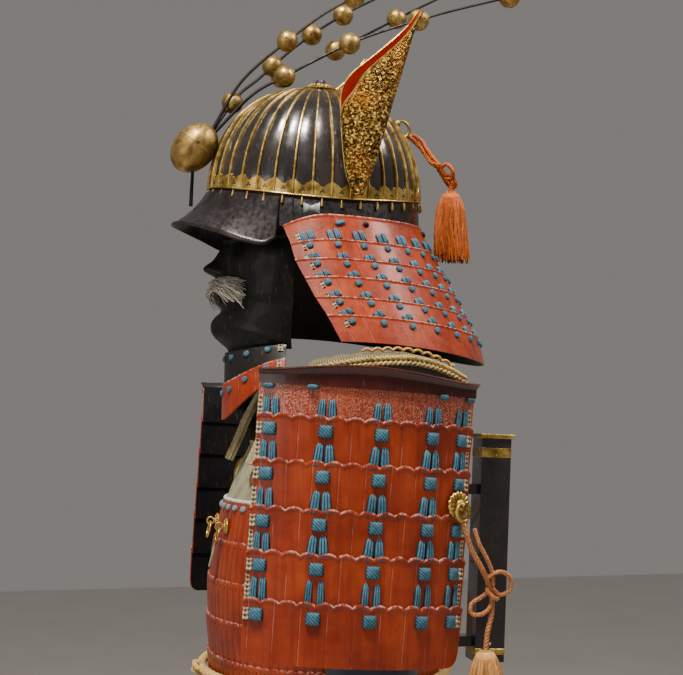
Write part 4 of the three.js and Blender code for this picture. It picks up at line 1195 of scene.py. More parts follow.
make_bowl()
make_band()
make_base()
make_crown()
make_visor()
make_crest()
make_ears()
make_rear_ring()
make_neck()


# Mask and throat guard
# The mask at each height: front and half width.
MASK = table("z front side", [(22, -92, 58), (40, -108, 66), (58, -107, 71), (72, -102, 74), (84, -104, 76),
                              (98, -103, 77), (112, -102, 77), (130, -98, 77), (148, -93, 76)])
MASK_FOOT, MASK_HEAD = 22, 148


def mask_surface(u, v):
    z = mix(MASK_FOOT, MASK_HEAD, v)
    turn = radians(mix(-172, -8, u))
    side, front = look_round(MASK, "z", z, "side"), look_round(MASK, "z", z, "front")
    return V((side * cos(turn), -22 + (-22 - front) * sin(turn), z))


def bump_at(x, z, x0, z0, wide, high):
    return exp(-((x - x0) / wide) ** 2 - ((z - z0) / high) ** 2)


def mask_relief(u, v):
    """A plain calm half mask: nose, cheeks, lips a little open, chin."""
    x, z = abs(mix(-120, 120, u)), mix(MASK_FOOT, MASK_HEAD, v)
    bridge = 13 * exp(-(x / 8) ** 2) * smooth(z, 104, 112) * mix(1.0, 0.45, smooth(z, 116, 148))
    tip = 9 * bump_at(x, z, 0, 112, 9, 7) + 4.5 * bump_at(x, z, 10, 108, 5, 6)
    cheek = 5.5 * bump_at(x, z, 40, 118, 20, 17) - 2.5 * bump_at(x, z, 26, 96, 9, 15)
    upper = 4.0 * bump_at(x, z, 5, 90, 20, 3.6)
    lower = 4.6 * bump_at(x, z, 0, 76, 18, 4.2)
    gap = -6.0 * exp(-(x / 21) ** 4 - ((z - 83) / 3.0) ** 2)
    chin = 6.0 * bump_at(x, z, 0, 50, 22, 13) - 2.2 * bump_at(x, z, 0, 65, 20, 5)
    jaw = 1.8 * exp(-((z - 60 + x * 0.25) / 4) ** 2) * smooth(x, 30, 60)
    brim = 2.0 * smooth(z, 143, 148) + 2.0 * smooth(26 - z, 0, 4)
    return 2 + bridge + tip + cheek + upper + lower + gap + chin + jaw + brim


def make_mask():
    b = Build()
    add_wall(b, mask_surface, steps(120), steps(84), mask_relief, -0.2, mats=(0, 1, 0))
    b.make("mask_half_face", [MASK_BLACK, BLACK_IN], "black_lacquer", stand_for=("mask",), angle=60)
    hair = Build()
    rng = random.Random(9)
    for side in (-1, 1):
        for _ in range(260):
            root_u = 0.5 + side * rng.uniform(0.012, 0.145)
            z = 97 + rng.uniform(-6.5, 6.5)
            v = (z - MASK_FOOT) / (MASK_HEAD - MASK_FOOT)
            at = frame_at(mask_surface, root_u, v, mask_relief(root_u, v) - 0.5)
            reach = rng.uniform(18, 34)
            droop = rng.uniform(-0.75, 0.02)
            lift = rng.uniform(5.0, 15.0)
            line = []
            for t in steps(5):
                x = side * reach * t
                y = reach * droop * t ** 1.6 + rng.uniform(-0.4, 0.4)
                out = lift * sin(pi * min(t * 0.8 + 0.1, 1)) - 0.15 * reach * t
                line.append(at @ V((x, y, out)))
            hair.tube(line, [0.85, 0.95, 0.9, 0.8, 0.6, 0.3], 3, caps=False, shade=rng.uniform(0.35, 1.0))
    hair.make("mask_moustache", [HAIR], "black_lacquer", angle=80)


def throat_surface(u, v):
    turn = radians(mix(-166, -14, u))
    front = max(-sin(turn), 0) ** 2
    return V((mix(82, 63, v) * cos(turn), mix(-24, -20, v) + mix(77, 76, v) * sin(turn),
              mix(mix(-6, -58, front), mix(24.6, 19, front), v)))


THROAT_SPLIT = 42 / 77


def make_throat():
    b = Build()
    for start, end, mat, height in ((0, THROAT_SPLIT, 0, 42), (THROAT_SPLIT + 0.006, 1, 1, 35)):
        vs = steps(8, start, end)

        def face(u, v, start=start, end=end):
            t = (v - start) / (end - start)
            return 1.5 + mix(0.6, 2.4, t) + 0.5 * smooth(t, 0.86, 0.94) - 0.8 * smooth(t, 0.96, 1.0)
        add_wall(b, throat_surface, steps(70), vs, face, mats=(mat, 1, mat),
                 uv=lambda u, v, s=start, e=end, h=height: (u * 210, h * (e - v) / (e - s)))
    b.make("throat_guard_lames", [RED, BLACK_IN], "red_lacquer", stand_for=("throat_guard",))
    lacing = Build()
    for v in (THROAT_SPLIT * 0.72, 0.9):
        for k in range(7):
            u = mix(0.10, 0.90, k / 6)
            knot(lacing, frame_at(throat_surface, u, v, 3.4), 9, 8, 2.4, 3, 8, round_form=True)
        for u in (0.03, 0.97):
            braid_bit(lacing, frame_at(throat_surface, u, v, 3.2), 7, 8)
    lacing.make("throat_guard_lacing", [BLUE, CHECK], "indigo_cloth", angle=70)


# Cuirass
# The trunk at each height: half width, front and back.
TRUNK = table("z side front back", [
    (-380, 164, -113, 142), (-340, 160, -111, 142), (-290, 163, -113, 146), (-240, 166, -112, 150),
    (-195, 163, -105, 152), (-150, 156, -93, 150), (-80, 150, -62, 140), (-40, 146, -42, 118)])
BODY_TOP, BODY_LAME, BODY_LAMES, BODY_Y = -152, 42, 5, 16
BODY_FOOT = BODY_TOP - BODY_LAME * BODY_LAMES


def trunk_point(degrees, z, out=0.0):
    side, front, back = (look_round(TRUNK, "z", z, name) for name in ("side", "front", "back"))
    turn = radians(degrees)
    sine = sin(turn)
    reach = BODY_Y - front if sine < 0 else back - BODY_Y
    return V(((side + out) * cos(turn), BODY_Y + (reach + out) * sine, z))


def body_surface(start, end):
    def surface(u, v):
        degrees = mix(start, end, u)
        z = mix(BODY_FOOT, BODY_TOP, v)
        sideways = smooth(abs(cos(radians(degrees))), 0.74, 0.98)
        upper = smooth(z, BODY_FOOT + 3 * BODY_LAME, BODY_TOP)
        return trunk_point(degrees, z - upper * sideways * 58)
    return surface


SCALE_COLUMNS, SCALLOP, FLUTE = 6, 2.6, 0.8


def scale_strips(b, surface, lames, total, base, rise, scales):
    """Laced lames of small fluted scales on a wall that runs from v 0 to 1."""
    count = scales * SCALE_COLUMNS
    for lame in range(lames):
        foot, head = lame / lames, (lame + 1) / lames
        rows, uvs, shades = [], [], []
        for t in (-0.04, 0.15, 0.35, 0.55, 0.72, 0.86, 0.95, 1.0, 1.0):
            row, uv, dark = [], [], []
            last = len(rows) == 8
            for c in range(count + 1):
                u = c / count
                wave = abs(sin(pi * ((c % SCALE_COLUMNS) / SCALE_COLUMNS)))
                ridge = wave ** 0.6
                v = mix(foot, head, t) + SCALLOP * wave ** 0.5 * smooth(t, 0.8, 1.0) / total
                out = base + mix(0.6, rise, max(t, 0)) + FLUTE * ridge * (1 - 0.5 * smooth(t, 0.9, 1.0))
                if last:
                    out = base + 0.2
                uu = min(max(u, 0.0015), 0.9985)
                row.append(offset(surface, uu, v, out))
                uv.append((u * 400, (1 - t) * total / lames))
                # Painted light and shade: flute ridges lighter; valleys, the turned-back head row and the
                # foot of each lame darker.
                lit = min(1.0, 0.35 + 0.8 * ridge) * (0.45 if last else 1)
                dark.append(lit * (1 - 0.5 * smooth(0.1 - t, 0, 0.14)))
            rows.append(row)
            uvs.append(uv)
            shades.append(dark)
        b.grid(rows, uvs, shades)
        out = base + rise + FLUTE * 0.95 - 0.2
        for k in range(scales):
            at = frame_at(surface, (k + 0.5) / scales, mix(foot, head, 0.90), out)
            disc(b, at, 0, 0, 1.0, 2, sides=6, rise=0.15)


def make_body():
    lacing = Build()
    for name, start, end in (("front", -179.8, -0.2), ("back", 0.2, 179.8)):
        surface = body_surface(start, end)
        b = Build()
        add_wall(b, surface, steps(60), steps(24), 2.2, mats=(1, 1, 1))
        scale_strips(b, surface, BODY_LAMES, 210, 2.0, 3.2, 42)
        b.make(f"body_{name}_scales", [RED_SCALE, BLACK_IN, DARK_DOT], "red_lacquer",
               stand_for=(f"body_{name}",))
        if name == "front":
            for k in range(16):
                u = mix(0.17, 0.83, k / 15)
                knot(lacing, frame_at(surface, u, 0.975, 5.4), 11, 8, 2.6, 3, 8, round_form=True, mat=1)
    lacing.make("body_lacing", [BLUE, GREY_KNOT], "indigo_cloth", angle=70)


CHEST_FOOT, CHEST_HEAD, CHEST_TURNS = -151, -84, (-131, -49)


def chest_surface(u, v):
    return trunk_point(mix(*CHEST_TURNS, u), mix(CHEST_FOOT, CHEST_HEAD, v))


def make_chest():
    b = Build()
    add_wall(b, chest_surface, steps(60), steps(20), lambda u, v: 2.2 + 0.8 * sin(pi * v),
             uv=(210, 70))
    b.make("chest_leather", [LEATHER], "patterned_leather", stand_for=("chest_plate",))
    trim = Build()
    foot = [offset(chest_surface, u, 0.02, 4.0) for u in steps(110, 0.002, 0.998)]
    rope(trim, foot, 2.6, 8.0)
    edge = ([offset(chest_surface, 0.004, v, 2.6) for v in steps(30)]
            + [offset(chest_surface, u, 0.995, 2.6) for u in steps(90, 0.006, 0.994)]
            + [offset(chest_surface, 0.996, v, 2.6) for v in steps(30, 1, 0)])
    trim.tube(edge, 1.7, 8, mat=1)
    for side in (-1, 1):
        for degrees, z, lean in ((26, -116, 0.15), (33, -114, 0.05)):
            u = 0.5 + side * degrees / (CHEST_TURNS[1] - CHEST_TURNS[0])
            v = (z - CHEST_FOOT) / (CHEST_HEAD - CHEST_FOOT)
            at = frame_at(chest_surface, u, v, 3.0) @ Matrix.Rotation(-side * lean, 4, "Z")
            rows = []
            for j in range(13):
                t = j / 12 * 2 - 1
                half = 4.9 * (1 - abs(t) ** 2.2) ** 0.7 + 0.3
                rows.append([at @ V((half * cos(a), t * 17, max(half * 0.8 * sin(a), -1) + 1.2))
                             for a in round_steps(16)])
            trim.grid(rows, closed=True, mat=2)
            trim.tube([at @ V((0, t * 15, 5.4 * (1 - t * t) ** 0.7 + 0.6)) for t in steps(14, -1, 1)],
                      0.5, 6, mat=2, shade=0.6)
    trim.make("chest_trim", [WHITE_CORD, GOLD_ROPE, GOLD], "gold", angle=60)


STRAP_LINE = [(0, -82, -110), (0, -70, -84), (0, -55, -50), (0, -30, -15), (0, 5, -1.6), (0, 45, -1.6),
              (0, 80, -13), (0, 102, -42), (0, 118, -66)]
STRAP_POINTS = curve_points(STRAP_LINE, 120)


def make_yoke():
    b = Build()

    def board(u, v):
        return trunk_point(mix(40, 140, u), mix(-151, -50, v))
    add_wall(b, board, steps(50), steps(12), 2.2, uv=(260, 100))
    trim = Build()
    trim.tube([offset(board, u, 0.995, 2.4) for u in steps(60, 0.004, 0.996)], 1.8, 8)
    for sign in (-1, 1):
        def strap(u, v, sign=sign):
            p = point_along(STRAP_POINTS, 1 - u)
            across = mix(72, 114, v) if sign > 0 else mix(-114, -72, v)
            return V((across, p.y, p.z))

        def crown(u, v):
            return 4.2 + 1.2 * (1 - abs(2 * v - 1) ** 3)
        add_wall(b, strap, steps(60, 0.01, 0.99), steps(10), crown, uv=(260, 42))
        for v in (0.02, 0.98):
            trim.tube([offset(strap, u, v, 4.4) for u in steps(60, 0.012, 0.988)], 1.5, 8)
    b.make("yoke_leather", [LEATHER], "patterned_leather", stand_for=("shoulder_yoke",))
    trim.make("yoke_piping", [GOLD_ROPE], "gold", angle=60)


WING = table("v share z", [(0, 0, -19), (0.3, 0.02, 1), (0.5, 0.22, 4), (0.75, 0.6, 4), (1, 1, 1)])


def wing_surface(u, v):
    turn = radians(mix(-19, 28, u))
    reach = SODE_R - 4.3
    rim = V((SODE_X + reach * cos(turn), SODE_Y + reach * sin(turn), 0))
    root = V((114.5, mix(-10, 56, u), 0))
    share = look(WING, "v", v, "share")
    away = rim.y - 39
    arch = (13 * (away / 92) ** 2 if away < 0 else 32 * (away / 85) ** 2) * (1 - share)
    place = rim.lerp(root, share)
    place.z = look(WING, "v", v, "z") - arch
    return place


def make_wings():
    b, trim = Build(), Build()

    def puff(u, v):
        quilt = abs(sin(pi * 7 * u)) ** 0.5 * smooth(v, 0.3, 0.45) * (1 - smooth(v, 0.9, 1.0))
        return 5 + 1.5 * quilt
    vs = [0, 0.02, 0.08, 0.16, 0.24, 0.29, 0.31, 0.34, 0.4, 0.46, 0.52, 0.6, 0.68, 0.76, 0.84, 0.9, 0.96, 1]
    add_wall(b, wing_surface, steps(56), vs, puff, uv=(170, 90))

    def edge(v, out, count=120):
        return [offset(wing_surface, u, v, out) for u in steps(count, 0.004, 0.996)]
    rope(trim, edge(0.29, 7.2, 260), 3.0, 10.0, strands=2)
    rope(trim, edge(0.215, 7.2, 260), 3.0, -10.0, strands=2)
    trim.tube(edge(0.03, 5.6), 1.4, 8, shade=0.4)
    crest = [offset(wing_surface, u, 0.37, 7.4 + 3.0 * abs(sin(pi * 15 * u)) ** 0.7)
             for u in steps(240, 0.34, 0.96)]
    trim.tube(crest, 1.5, 6, mat=2)
    band = [[offset(wing_surface, u, v, 6.4) for u in steps(60, 0.004, 0.996)]
            for v in (0.04, 0.08, 0.12, 0.16, 0.18)]
    trim.grid(band, mat=1)
    for side, wall, line in both_sides(b, trim):
        piece = wall.make(f"wing_{side}_pad", [BROCADE], "brocade", stand_for=(f"shoulder_wing_{side}",),
                          weld=True)
        line.make(f"wing_{side}_braid", [GOLD_ROPE, BLACK, GOLD_THREAD], "gold", angle=60)


WAIST = -338


def make_waist():
    b = Build()
    loop = curve_points([trunk_point(15 * k, WAIST, 12.6) for k in range(24)], 420, closed=True)
    rope(b, loop, 5.5, 20.0, sides=8, closed=True)
    centre = trunk_point(-90, WAIST, 15.5)
    for k, (x, z, turn) in enumerate(((-5, 3, 0.5), (5, 3, -0.5), (0, -4, 0.0))):
        ring = [centre + V((x + 6.5 * cos(a) * cos(turn), -1 - 4.5 * sin(a) - 0.7 * k,
                            z + 5.5 * cos(a) * sin(turn) + 2 * sin(a)))
                for a in round_steps(30)]
        rope(b, ring, 3.4, 11, closed=True)
    b.make("waist_rope", [YELLOW], "yellow_silk", stand_for=("waist_cord",), angle=70)


def make_tassets():
    head, drop, lames = BODY_FOOT + 9, 43, 5
    foot = head - drop * lames
    lacing = Build()
    for group in range(7):
        middle, half = -90 + 360 / 7 * group, 180 / 7 - 1.6

        def surface(u, v, middle=middle, half=half):
            z = mix(foot, head, v)
            p = trunk_point(mix(middle - half, middle + half, u), BODY_FOOT, 2 + 3.15 + (head - z) * 0.2)
            return V((p.x, p.y, z))
        b = Build()
        add_wall(b, surface, steps(16), steps(10), 1.5, mats=(1, 1, 1))
        scale_strips(b, surface, lames, drop * lames, 1.4, 3.0, 11)
        b.make(f"tasset_{group + 1}_scales", [RED_SCALE, BLACK_IN, DARK_DOT], "red_lacquer",
               stand_for=(f"tasset_{group + 1}",))
        for lame in range(lames):
            for k in range(4):
                u = mix(0.12, 0.88, k / 3)
                knot(lacing, frame_at(surface, u, (lame + 1) / lames - 0.055, 4.9), 9, 9, 2.0, 3, 8)
                if lame:
                    pair(lacing, frame_at(surface, u, lame / lames + 0.05, 3.0), 14, 13, 2.0, 0.7, 0.3, 8, 5)
    lacing.make("tasset_lacing", [BLUE], "indigo_cloth", angle=70)


make_mask()
make_throat()
make_body()
make_chest()
make_yoke()
make_wings()
make_waist()
make_tassets()


# Shoulder guards
# Depths of the lames' head lines below the first one, and places of the lacing columns across.
HEADS = [0, 37, 80, 125, 166.5, 212.5, 270]
COLUMNS = [0.060, 0.300, 0.537, 0.775, 0.930]
SCALLOPS = 13
# Lacing pairs under each lame: height, width, splay and the gap between the two cords.
GUARD_PAIRS = [(22, 19.5, 0.5, 0.8), (23, 21, 0.9, 0.1), (23, 21, 0.9, 0.1), (23, 21, 0.9, 0.1),
               (27, 20, 0.3, 3.0)]
ARC_MM = radians(2 * SODE_HALF) * SODE_R


def sode_surface(lame):
    foot = HEADS[lame + 1] + (8 if lame < 5 else 0)

    def surface(u, v):
        past = max(abs(u - 0.5) - 0.44, 0) / 0.06
        corner = 14 * (1 - sqrt(max(1 - past ** 2, 0))) if lame == 5 else 0
        tongue = 3.5 * abs(sin(pi * SCALLOPS * u)) ** 0.8 if lame else 0
        return arc(u, mix(foot - corner, HEADS[lame] - tongue, v), 2.8 * v)
    return surface


def plain_sode(z):
    """The guard's curve as a surface whose v 0 is at a height, for placing lacing."""
    return lambda u, v: arc(u, z - v * 10, 0)


def rosette(b, at, radius, petals):
    """A plain round boss with turned petals."""
    rise = radius / 14
    profile = [(radius * across, height * rise) for across, height in
               ((0.98, -0.3), (1, 0.6), (0.95, 1.8), (0.72, 3.0), (0.5, 3.2),
                (0.42, 3.0), (0.42, 4.0), (0.36, 5.6), (0.2, 6.6), (0.01, 6.9))]
    b.turn(profile, petals * 6, at.translation, at.to_3x3() @ V((0, 0, 1)),
           shades=[0.5, 1, 1, 1, 0.8, 0.3, 1, 1, 1, 1],
           wave=lambda k, j: 1 - (0.07 * abs(cos(pi * k / 6)) ** 3 if j < 5 else 0))
    for a in round_steps(petals):
        line = [at @ V((r * cos(a), r * sin(a), h * rise)) for r, h in
                ((radius * 0.46, 3.3), (radius * 0.7, 3.3), (radius * 0.9, 2.3))]
        b.tube(line, [0.5, 0.75, 0.4], 5)


def make_sode():
    guards, lacing = {}, Build()
    for lame in range(6):
        surface = sode_surface(lame)
        height = HEADS[lame + 1] - HEADS[lame] + 8
        b = Build()

        def face(u, v):
            return 1.5 + 0.9 * smooth(v, 0.90, 0.965) * (1 - 0.6 * smooth(v, 0.965, 1.0))
        shift = lame * 9.0
        vs = [0, 0.02] + steps(8, 0.08, 0.88) + [0.91, 0.94, 0.965, 0.985, 1.0]
        # The shade value paints shade towards the foot of each lame but the last, above the next lame's
        # head.
        add_wall(b, surface, steps(SCALLOPS * 10), vs, face, mats=(0, 1, 0),
                 uv=lambda u, v, s=shift, h=height: (u * ARC_MM + s, (1 - v) * h),
                 shade=lambda u, v, i=lame: 1 - 0.55 * smooth(0.24 - v, 0, 0.2) * (i < 5))
        guards[f"lame_{lame + 1}"] = b
        for k, u in enumerate(COLUMNS):
            end = k in (0, len(COLUMNS) - 1)
            inward = 1 if k == 0 else -1
            if lame:
                at = frame_at(plain_sode(HEADS[lame] + 12.5), u, 0, 2.8 + 1.2)
                knot(lacing, at, 14.8 if k != 4 else 12.5, 13.6, 3.4, 4, 20)
                if end:
                    braid_bit(lacing, at @ Matrix.Translation((-inward * 10.4, 0, 0)), 6.2, 11.5)
            if lame < 5:
                tall, wide, splay, gap = GUARD_PAIRS[lame]
                if k == 0:
                    wide, splay, gap = 18, 0.35, 0.1
                if k == 4:
                    wide = 17
                at = frame_at(plain_sode(HEADS[lame + 1] - tall / 2 + 2.0), u, 0, 1.9)
                pair(lacing, at, wide, tall, 3.0, splay, gap, 24, 9)
                if end:
                    across = Matrix.Translation((-inward * (wide / 2 + 2.2), 0, 0))
                    braid_bit(lacing, at @ across, 6.2, tall - 2, v0=lame * 7.0)
    top = Build()

    def plate(u, v):
        rise = mix(-7, 8 + 10 * sin(pi * u) ** 2 * (1 - 0.4 * u), v)
        return arc(u, -rise, 4.7 + 5 * (max(v - 0.6, 0) / 0.4) ** 1.3)
    add_wall(top, plate, steps(70, 0.001, 0.999), steps(20, 0.02, 0.99),
             lambda u, v: 1.5 + 0.7 * smooth(v, 0.93, 0.97), mats=(0, 1, 0))
    guards["top_plate"] = top
    for u, z in ((0.045, 9), (0.235, 8), (0.815, 8), (0.965, 9)):
        knot(lacing, frame_at(plain_sode(z), u, 0, 5.6), 12.5, 5.5, 2.6, 4, 10, round_form=True)
    gold = Build()
    rosette(gold, Matrix.Translation(BOSS) @ facing(BOSS_AWAY), 14.0, 16)
    gold.turn([(4.6, -5), (4.6, 0.2)], 20, BOSS, BOSS_AWAY)
    gold.turn([(2.6, 4.5), (2.4, 8.5), (3.2, 9.4), (2.6, 10.8), (0.1, 11.4)], 16, BOSS, BOSS_AWAY)
    across = V((-BOSS_AWAY.y, BOSS_AWAY.x, 0)) * BOSS_RING_RADIUS
    gold.tube([BOSS_RING + across * cos(a) + V((0, 0, BOSS_RING_RADIUS * sin(a)))
               for a in round_steps(44)], 1.9, 12, closed=True)
    for side, pick in (("left", lambda build: build), ("right", mirrored)):
        for part, build in guards.items():
            skin = {"top_plate": DARK_RED, "lame_1": RED_GRAIN_SPARKLE}.get(part, RED)
            slot = "dark_red_lacquer" if part == "top_plate" else "red_lacquer"
            pick(build).make(f"{side}_guard_{part}_lacquer", [skin, BLACK_IN], slot,
                             stand_for=(f"{side}_guard_{part}",))
        pick(lacing).make(f"{side}_guard_lacing", [BLUE, CHECK], "indigo_cloth", angle=70)
        pick(gold).make(f"{side}_guard_rosette", [GOLD], "gold", angle=50)


# Fittings, tube, cloth
def make_chest_fittings():
    for side, sign in (("left", 1), ("right", -1)):
        seat = trunk_point(-90 + sign * 15, -176, 6)
        eye = seat + V((0, -8, 0))
        b = Build()
        rosette(b, Matrix.Translation(seat + V((0, 0.6, 0))) @ facing((0, -1, 0)), 9.0, 12)
        b.tube([eye + V((0, 4 * cos(a), 4 * sin(a))) for a in round_steps(24)], 1.1, 8,
               closed=True)
        b.make(f"chest_fitting_{side}_boss", [GOLD], "gold", stand_for=(f"chest_fitting_{side}",), angle=50)
        swing = Matrix.Translation(eye + V((0, 0, -1.1))) @ Matrix.Rotation(-radians(13), 4, "X")
        ring = Build()
        ring.tube([swing @ V((9 * sin(a), 0, -9 + 9 * cos(a))) for a in round_steps(44)], 1.25, 10,
                  closed=True)
        if side == "left":
            for face, flip in ((-0.65, False), (0.65, True)):
                rows = []
                for t in steps(18):
                    half = 6.0 * sin(pi * t ** 0.8) ** 0.8 + 0.25
                    rows.append([swing @ V((s * half, face * (1.25 - abs(s)) - 0.5 * t, -17 - 28 * t))
                                 for s in steps(8, -1, 1)])
                ring.grid(rows, mat=1, flip=not flip)
            ring.tube([swing @ V((0, -0.95 - 0.5 * t, -17 - 27 * t)) for t in steps(12)], 0.5, 6, mat=1)
            ring.tube([swing @ V((1.8 * sin(a), 0.0, -18.2 + 2.6 * cos(a)))
                       for a in round_steps(20)], 0.6, 6, closed=True)
        ring.make(f"chest_ring_{side}_gilt", [GOLD, JADE], "gold", body=f"chest_ring_{side}_body",
                  stand_for=(f"chest_ring_{side}",))


def make_tube():
    place = Matrix.Translation((0, 223, -76)) @ Matrix.Rotation(-radians(2.6), 4, "X")
    soft = 0.8

    def collar(outer, inner, top, height):
        rings = []
        for half, z in ((inner, top), (outer - soft, top), (outer, top - soft), (outer, top - height + soft),
                        (outer - soft, top - height), (inner, top - height)):
            rings.append([place @ V((x * half, y * half, z)) for x, y in
                          ((-1, -1), (1, -1), (1, 1), (-1, 1))])
        b.grid(rings[::-1], closed=True)
    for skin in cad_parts["banner_tube"].material_slots:
        skin.material = BLACK
    b = Build()
    collar(21.4, 13.05, 0.9, 5.4)
    collar(18.35, 18.0, -15, 12)
    collar(18.35, 18.0, -250, 8)
    for x in (-1, 1):
        for z in (-24.5, -245):
            b.ball(place @ V((x * 18.1, 0, z)), 1.8, 10, 6)
    b.make("banner_tube_bands", [GOLD], "gold", angle=35)


# Middle line of a sleeve with its radius.
SLEEVE = [(110, 18, -40.6, 43), (160, 18, -60, 46), (208, 17, -118, 46), (226, 18, -200, 45),
          (230, 20, -300, 41), (233, 2, -390, 38), (236, -28, -510, 31)]
SLEEVE_POINTS = curve_points([p[:3] for p in SLEEVE], 240)


def sleeve_frames(along):
    """Point and directions at a share of the sleeve's length."""
    k = min(int(min(max(along, 0), 1) * 240), 239)
    p = point_along(SLEEVE_POINTS, along)
    a, c = SLEEVE_POINTS[max(k - 2, 0)], SLEEVE_POINTS[min(k + 3, 240)]
    heading = (c - a).normalized()
    side = V((0, 1, 0)).cross(heading).normalized()
    return p, side, heading.cross(side).normalized()


def make_sleeves():
    length = route_length(SLEEVE_POINTS)
    marks = table("at radius", [(i / 6, row[3]) for i, row in enumerate(SLEEVE)])

    def surface(u, v):
        along = 1 - v
        p, side, front = sleeve_frames(along)
        radius = look_round(marks, "at", min(max(along, 0), 1), "radius")
        turn = 2 * pi * u
        fold = 1.2 * sin(9 * turn / 2 + 11 * along) * sin(pi * along) ** 0.5
        fold += 1.4 * exp(-((along - 0.63) / 0.06) ** 2) * sin(5 * turn + 30 * along)
        return p - side * (radius + fold) * cos(turn) + front * (radius + fold) * sin(turn)
    b, hem = Build(), Build()
    add_wall(b, surface, ring_steps(64), steps(90, 0.004, 0.996), 1.5, closed=True,
             uv=(250, length))
    for v in (0.012, 0.988):
        hem.tube([offset(surface, u, v, 1.2) for u in ring_steps(64)], 2.2, 8, closed=True)
    for side, wall, edge in both_sides(b, hem):
        piece = wall.make(f"sleeve_{side}_cloth", [INDIGO], "indigo_cloth", stand_for=(f"sleeve_{side}",),
                          angle=70, weld=True)
        trim = edge.make(f"sleeve_{side}_hem", [BINDING], "indigo_cloth", angle=70)


APRON_FOOT, APRON_HEAD, APRON_DROP, SLIT_HEIGHT, SLIT_HALF = -890, BODY_FOOT - 0.6, 528, 400, 7 / 400


def make_apron():
    def surface(u, v):
        z = mix(APRON_FOOT, APRON_HEAD, v)
        turn = radians(mix(-165, -15, u))
        fold = 3.0 * sin(14 * pi * u) * max(1 - v, 0) ** 0.8
        return V(((mix(186, 164, v) + fold) * cos(turn),
                  BODY_Y + (mix(113, 128, v) + fold) * sin(turn), z))
    b, hem = Build(), Build()
    split = SLIT_HEIGHT / (APRON_HEAD - APRON_FOOT)
    lower = [v for v in steps(60) if v <= split]
    upper = [v for v in steps(60) if v >= lower[-1]]
    for start, end, vs in ((0, 0.5 - SLIT_HALF, lower), (0.5 + SLIT_HALF, 1, lower), (0, 1, upper)):
        count = 100 if end - start > 0.6 else 50
        add_wall(b, surface, steps(count, start, end), vs, 1.5, uv=(430, APRON_DROP))
    for start, end in ((0.002, 0.5 - SLIT_HALF), (0.5 + SLIT_HALF, 0.998)):
        line = ([surface(start, v) for v in steps(40, lower[-1], 0)]
                + [surface(u, 0.003) for u in steps(50, start, end)]
                + [surface(end, v) for v in steps(40, 0, lower[-1])])
        hem.tube([p + V((0, -0.7, 0)) for p in line], 2.0, 6)
    piece = b.make("thigh_apron_cloth", [INDIGO], "indigo_cloth", stand_for=("thigh_apron",), angle=70,
                   weld=True)
    trim = hem.make("thigh_apron_hem", [BINDING], "indigo_cloth", angle=70)
    width = route_length([surface(u, 0.4) for u in steps(200)])


SHIN_FOOT, SHIN_HEAD = -1262, -870


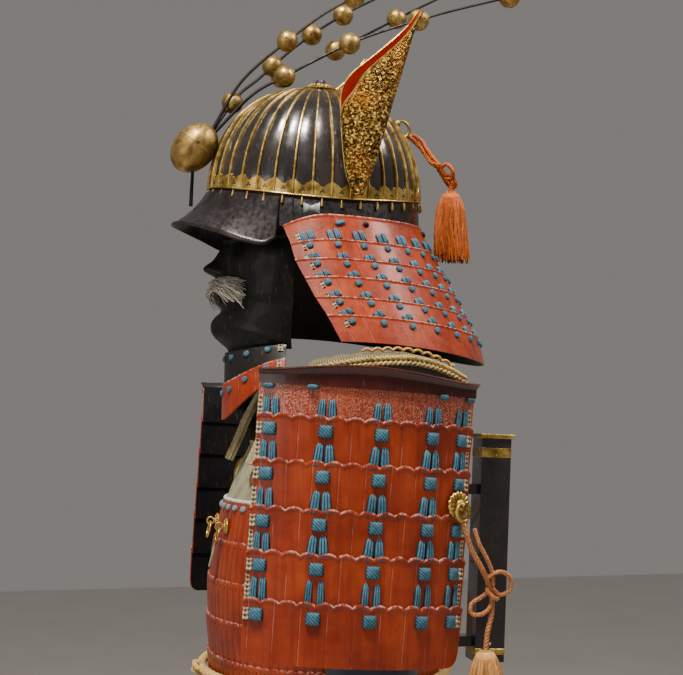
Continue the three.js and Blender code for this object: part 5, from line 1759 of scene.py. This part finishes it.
def make_shins():
    marks = table("z radius", [(SHIN_FOOT, 41), (-1100, 52), (-960, 57), (SHIN_HEAD, 64)])

    def surface(u, v):
        z = mix(SHIN_FOOT, SHIN_HEAD, v)
        turn = radians(mix(-215, 35, u))
        radius = look_round(marks, "z", z, "radius")
        return V((92 + radius * cos(turn), -10.1 + radius * sin(turn), z))

    def face(u, v):
        splint = abs(sin(pi * 9 * u)) ** 0.25
        return 1.5 + 1.6 * splint * (v < 0.78) + 2.0 * smooth(v, 0.80, 0.83)
    b = Build()
    # The shade value paints shade in the grooves between the splints.
    add_wall(b, surface, steps(108), steps(40), face, mats=(0, 1, 0),
             uv=lambda u, v: (u * 230, 60 * abs(v - 0.5)),
             shade=lambda u, v: 0.35 + 0.65 * (abs(sin(pi * 9 * u)) ** 0.5 if v < 0.78 else 1))
    trim = Build()
    for v in (0.12, 0.45, 0.72):
        trim.tube([offset(surface, u, v, 3.0) for u in steps(70, 0.01, 0.99)], 2.2, 8, flat=0.6)
    for side, wall, line in both_sides(b, trim):
        wall.make(f"shin_guard_{side}_splints", [RED_PLAIN, BLACK_IN], "red_lacquer",
                  stand_for=(f"shin_guard_{side}",))
        line.make(f"shin_guard_{side}_ties", [BINDING], "indigo_cloth", angle=70)


make_sode()
make_chest_fittings()
make_tube()
make_sleeves()
make_apron()
make_shins()


# Floor, light and close
FLOOR_DARK, FLOOR_LIGHT, FLOOR_REACH, FLOOR_DROP = (0.70, 0.67, 0.63), (0.74, 0.71, 0.67), 8, 0.002
ROOM_COLOR, ROOM_STRENGTH = (0.60, 0.56, 0.53, 1), 0.36
# Each lamp: name, place, aim, size, power and colour.
LAMPS = [
    ("key", (0.9, -0.5, 1.9), (0.05, 0.0, -0.05), 0.4, 86, (1.0, 0.93, 0.84)),
    ("rear_top", (0.5, 1.4, 1.6), (0.0, 0.05, 0.1), 0.6, 30, (1.0, 0.92, 0.84)),
    ("front_fill", (1.6, -1.9, 0.3), (0.0, 0.0, -0.1), 1.2, 12, (1.0, 0.95, 0.90)),
]


def make_stage():
    paint = Paint("floor", FLOOR_DARK, 0.9)
    paint.to("Base Color", paint.ramp(paint.noise(3, 2), [(0.3, FLOOR_DARK), (0.7, FLOOR_LIGHT)]))
    mesh = bpy.data.meshes.new("floor")
    r, z = FLOOR_REACH, CAD_BOX[0][2] - FLOOR_DROP
    mesh.from_pydata([(-r, -r, z), (r, -r, z), (r, r, z), (-r, r, z)], [], [(0, 1, 2, 3)])
    floor = bpy.data.objects.new("floor", mesh)
    mesh.materials.append(paint.mat)
    bpy.context.scene.collection.objects.link(floor)
    world = bpy.data.worlds.new("room")
    bpy.context.scene.world = world
    world.use_nodes = True
    sky = world.node_tree.nodes["Background"]
    sky.inputs["Color"].default_value = ROOM_COLOR
    sky.inputs["Strength"].default_value = ROOM_STRENGTH
    for name, place, aim, size, power, color in LAMPS:
        data = bpy.data.lights.new(name, "AREA")
        data.size = size
        data.energy = power
        data.color = color
        lamp = bpy.data.objects.new(name, data)
        lamp.location = place
        lamp.rotation_euler = (V(aim) - V(place)).to_track_quat("-Z", "Y").to_euler()
        bpy.context.scene.collection.objects.link(lamp)


make_stage()
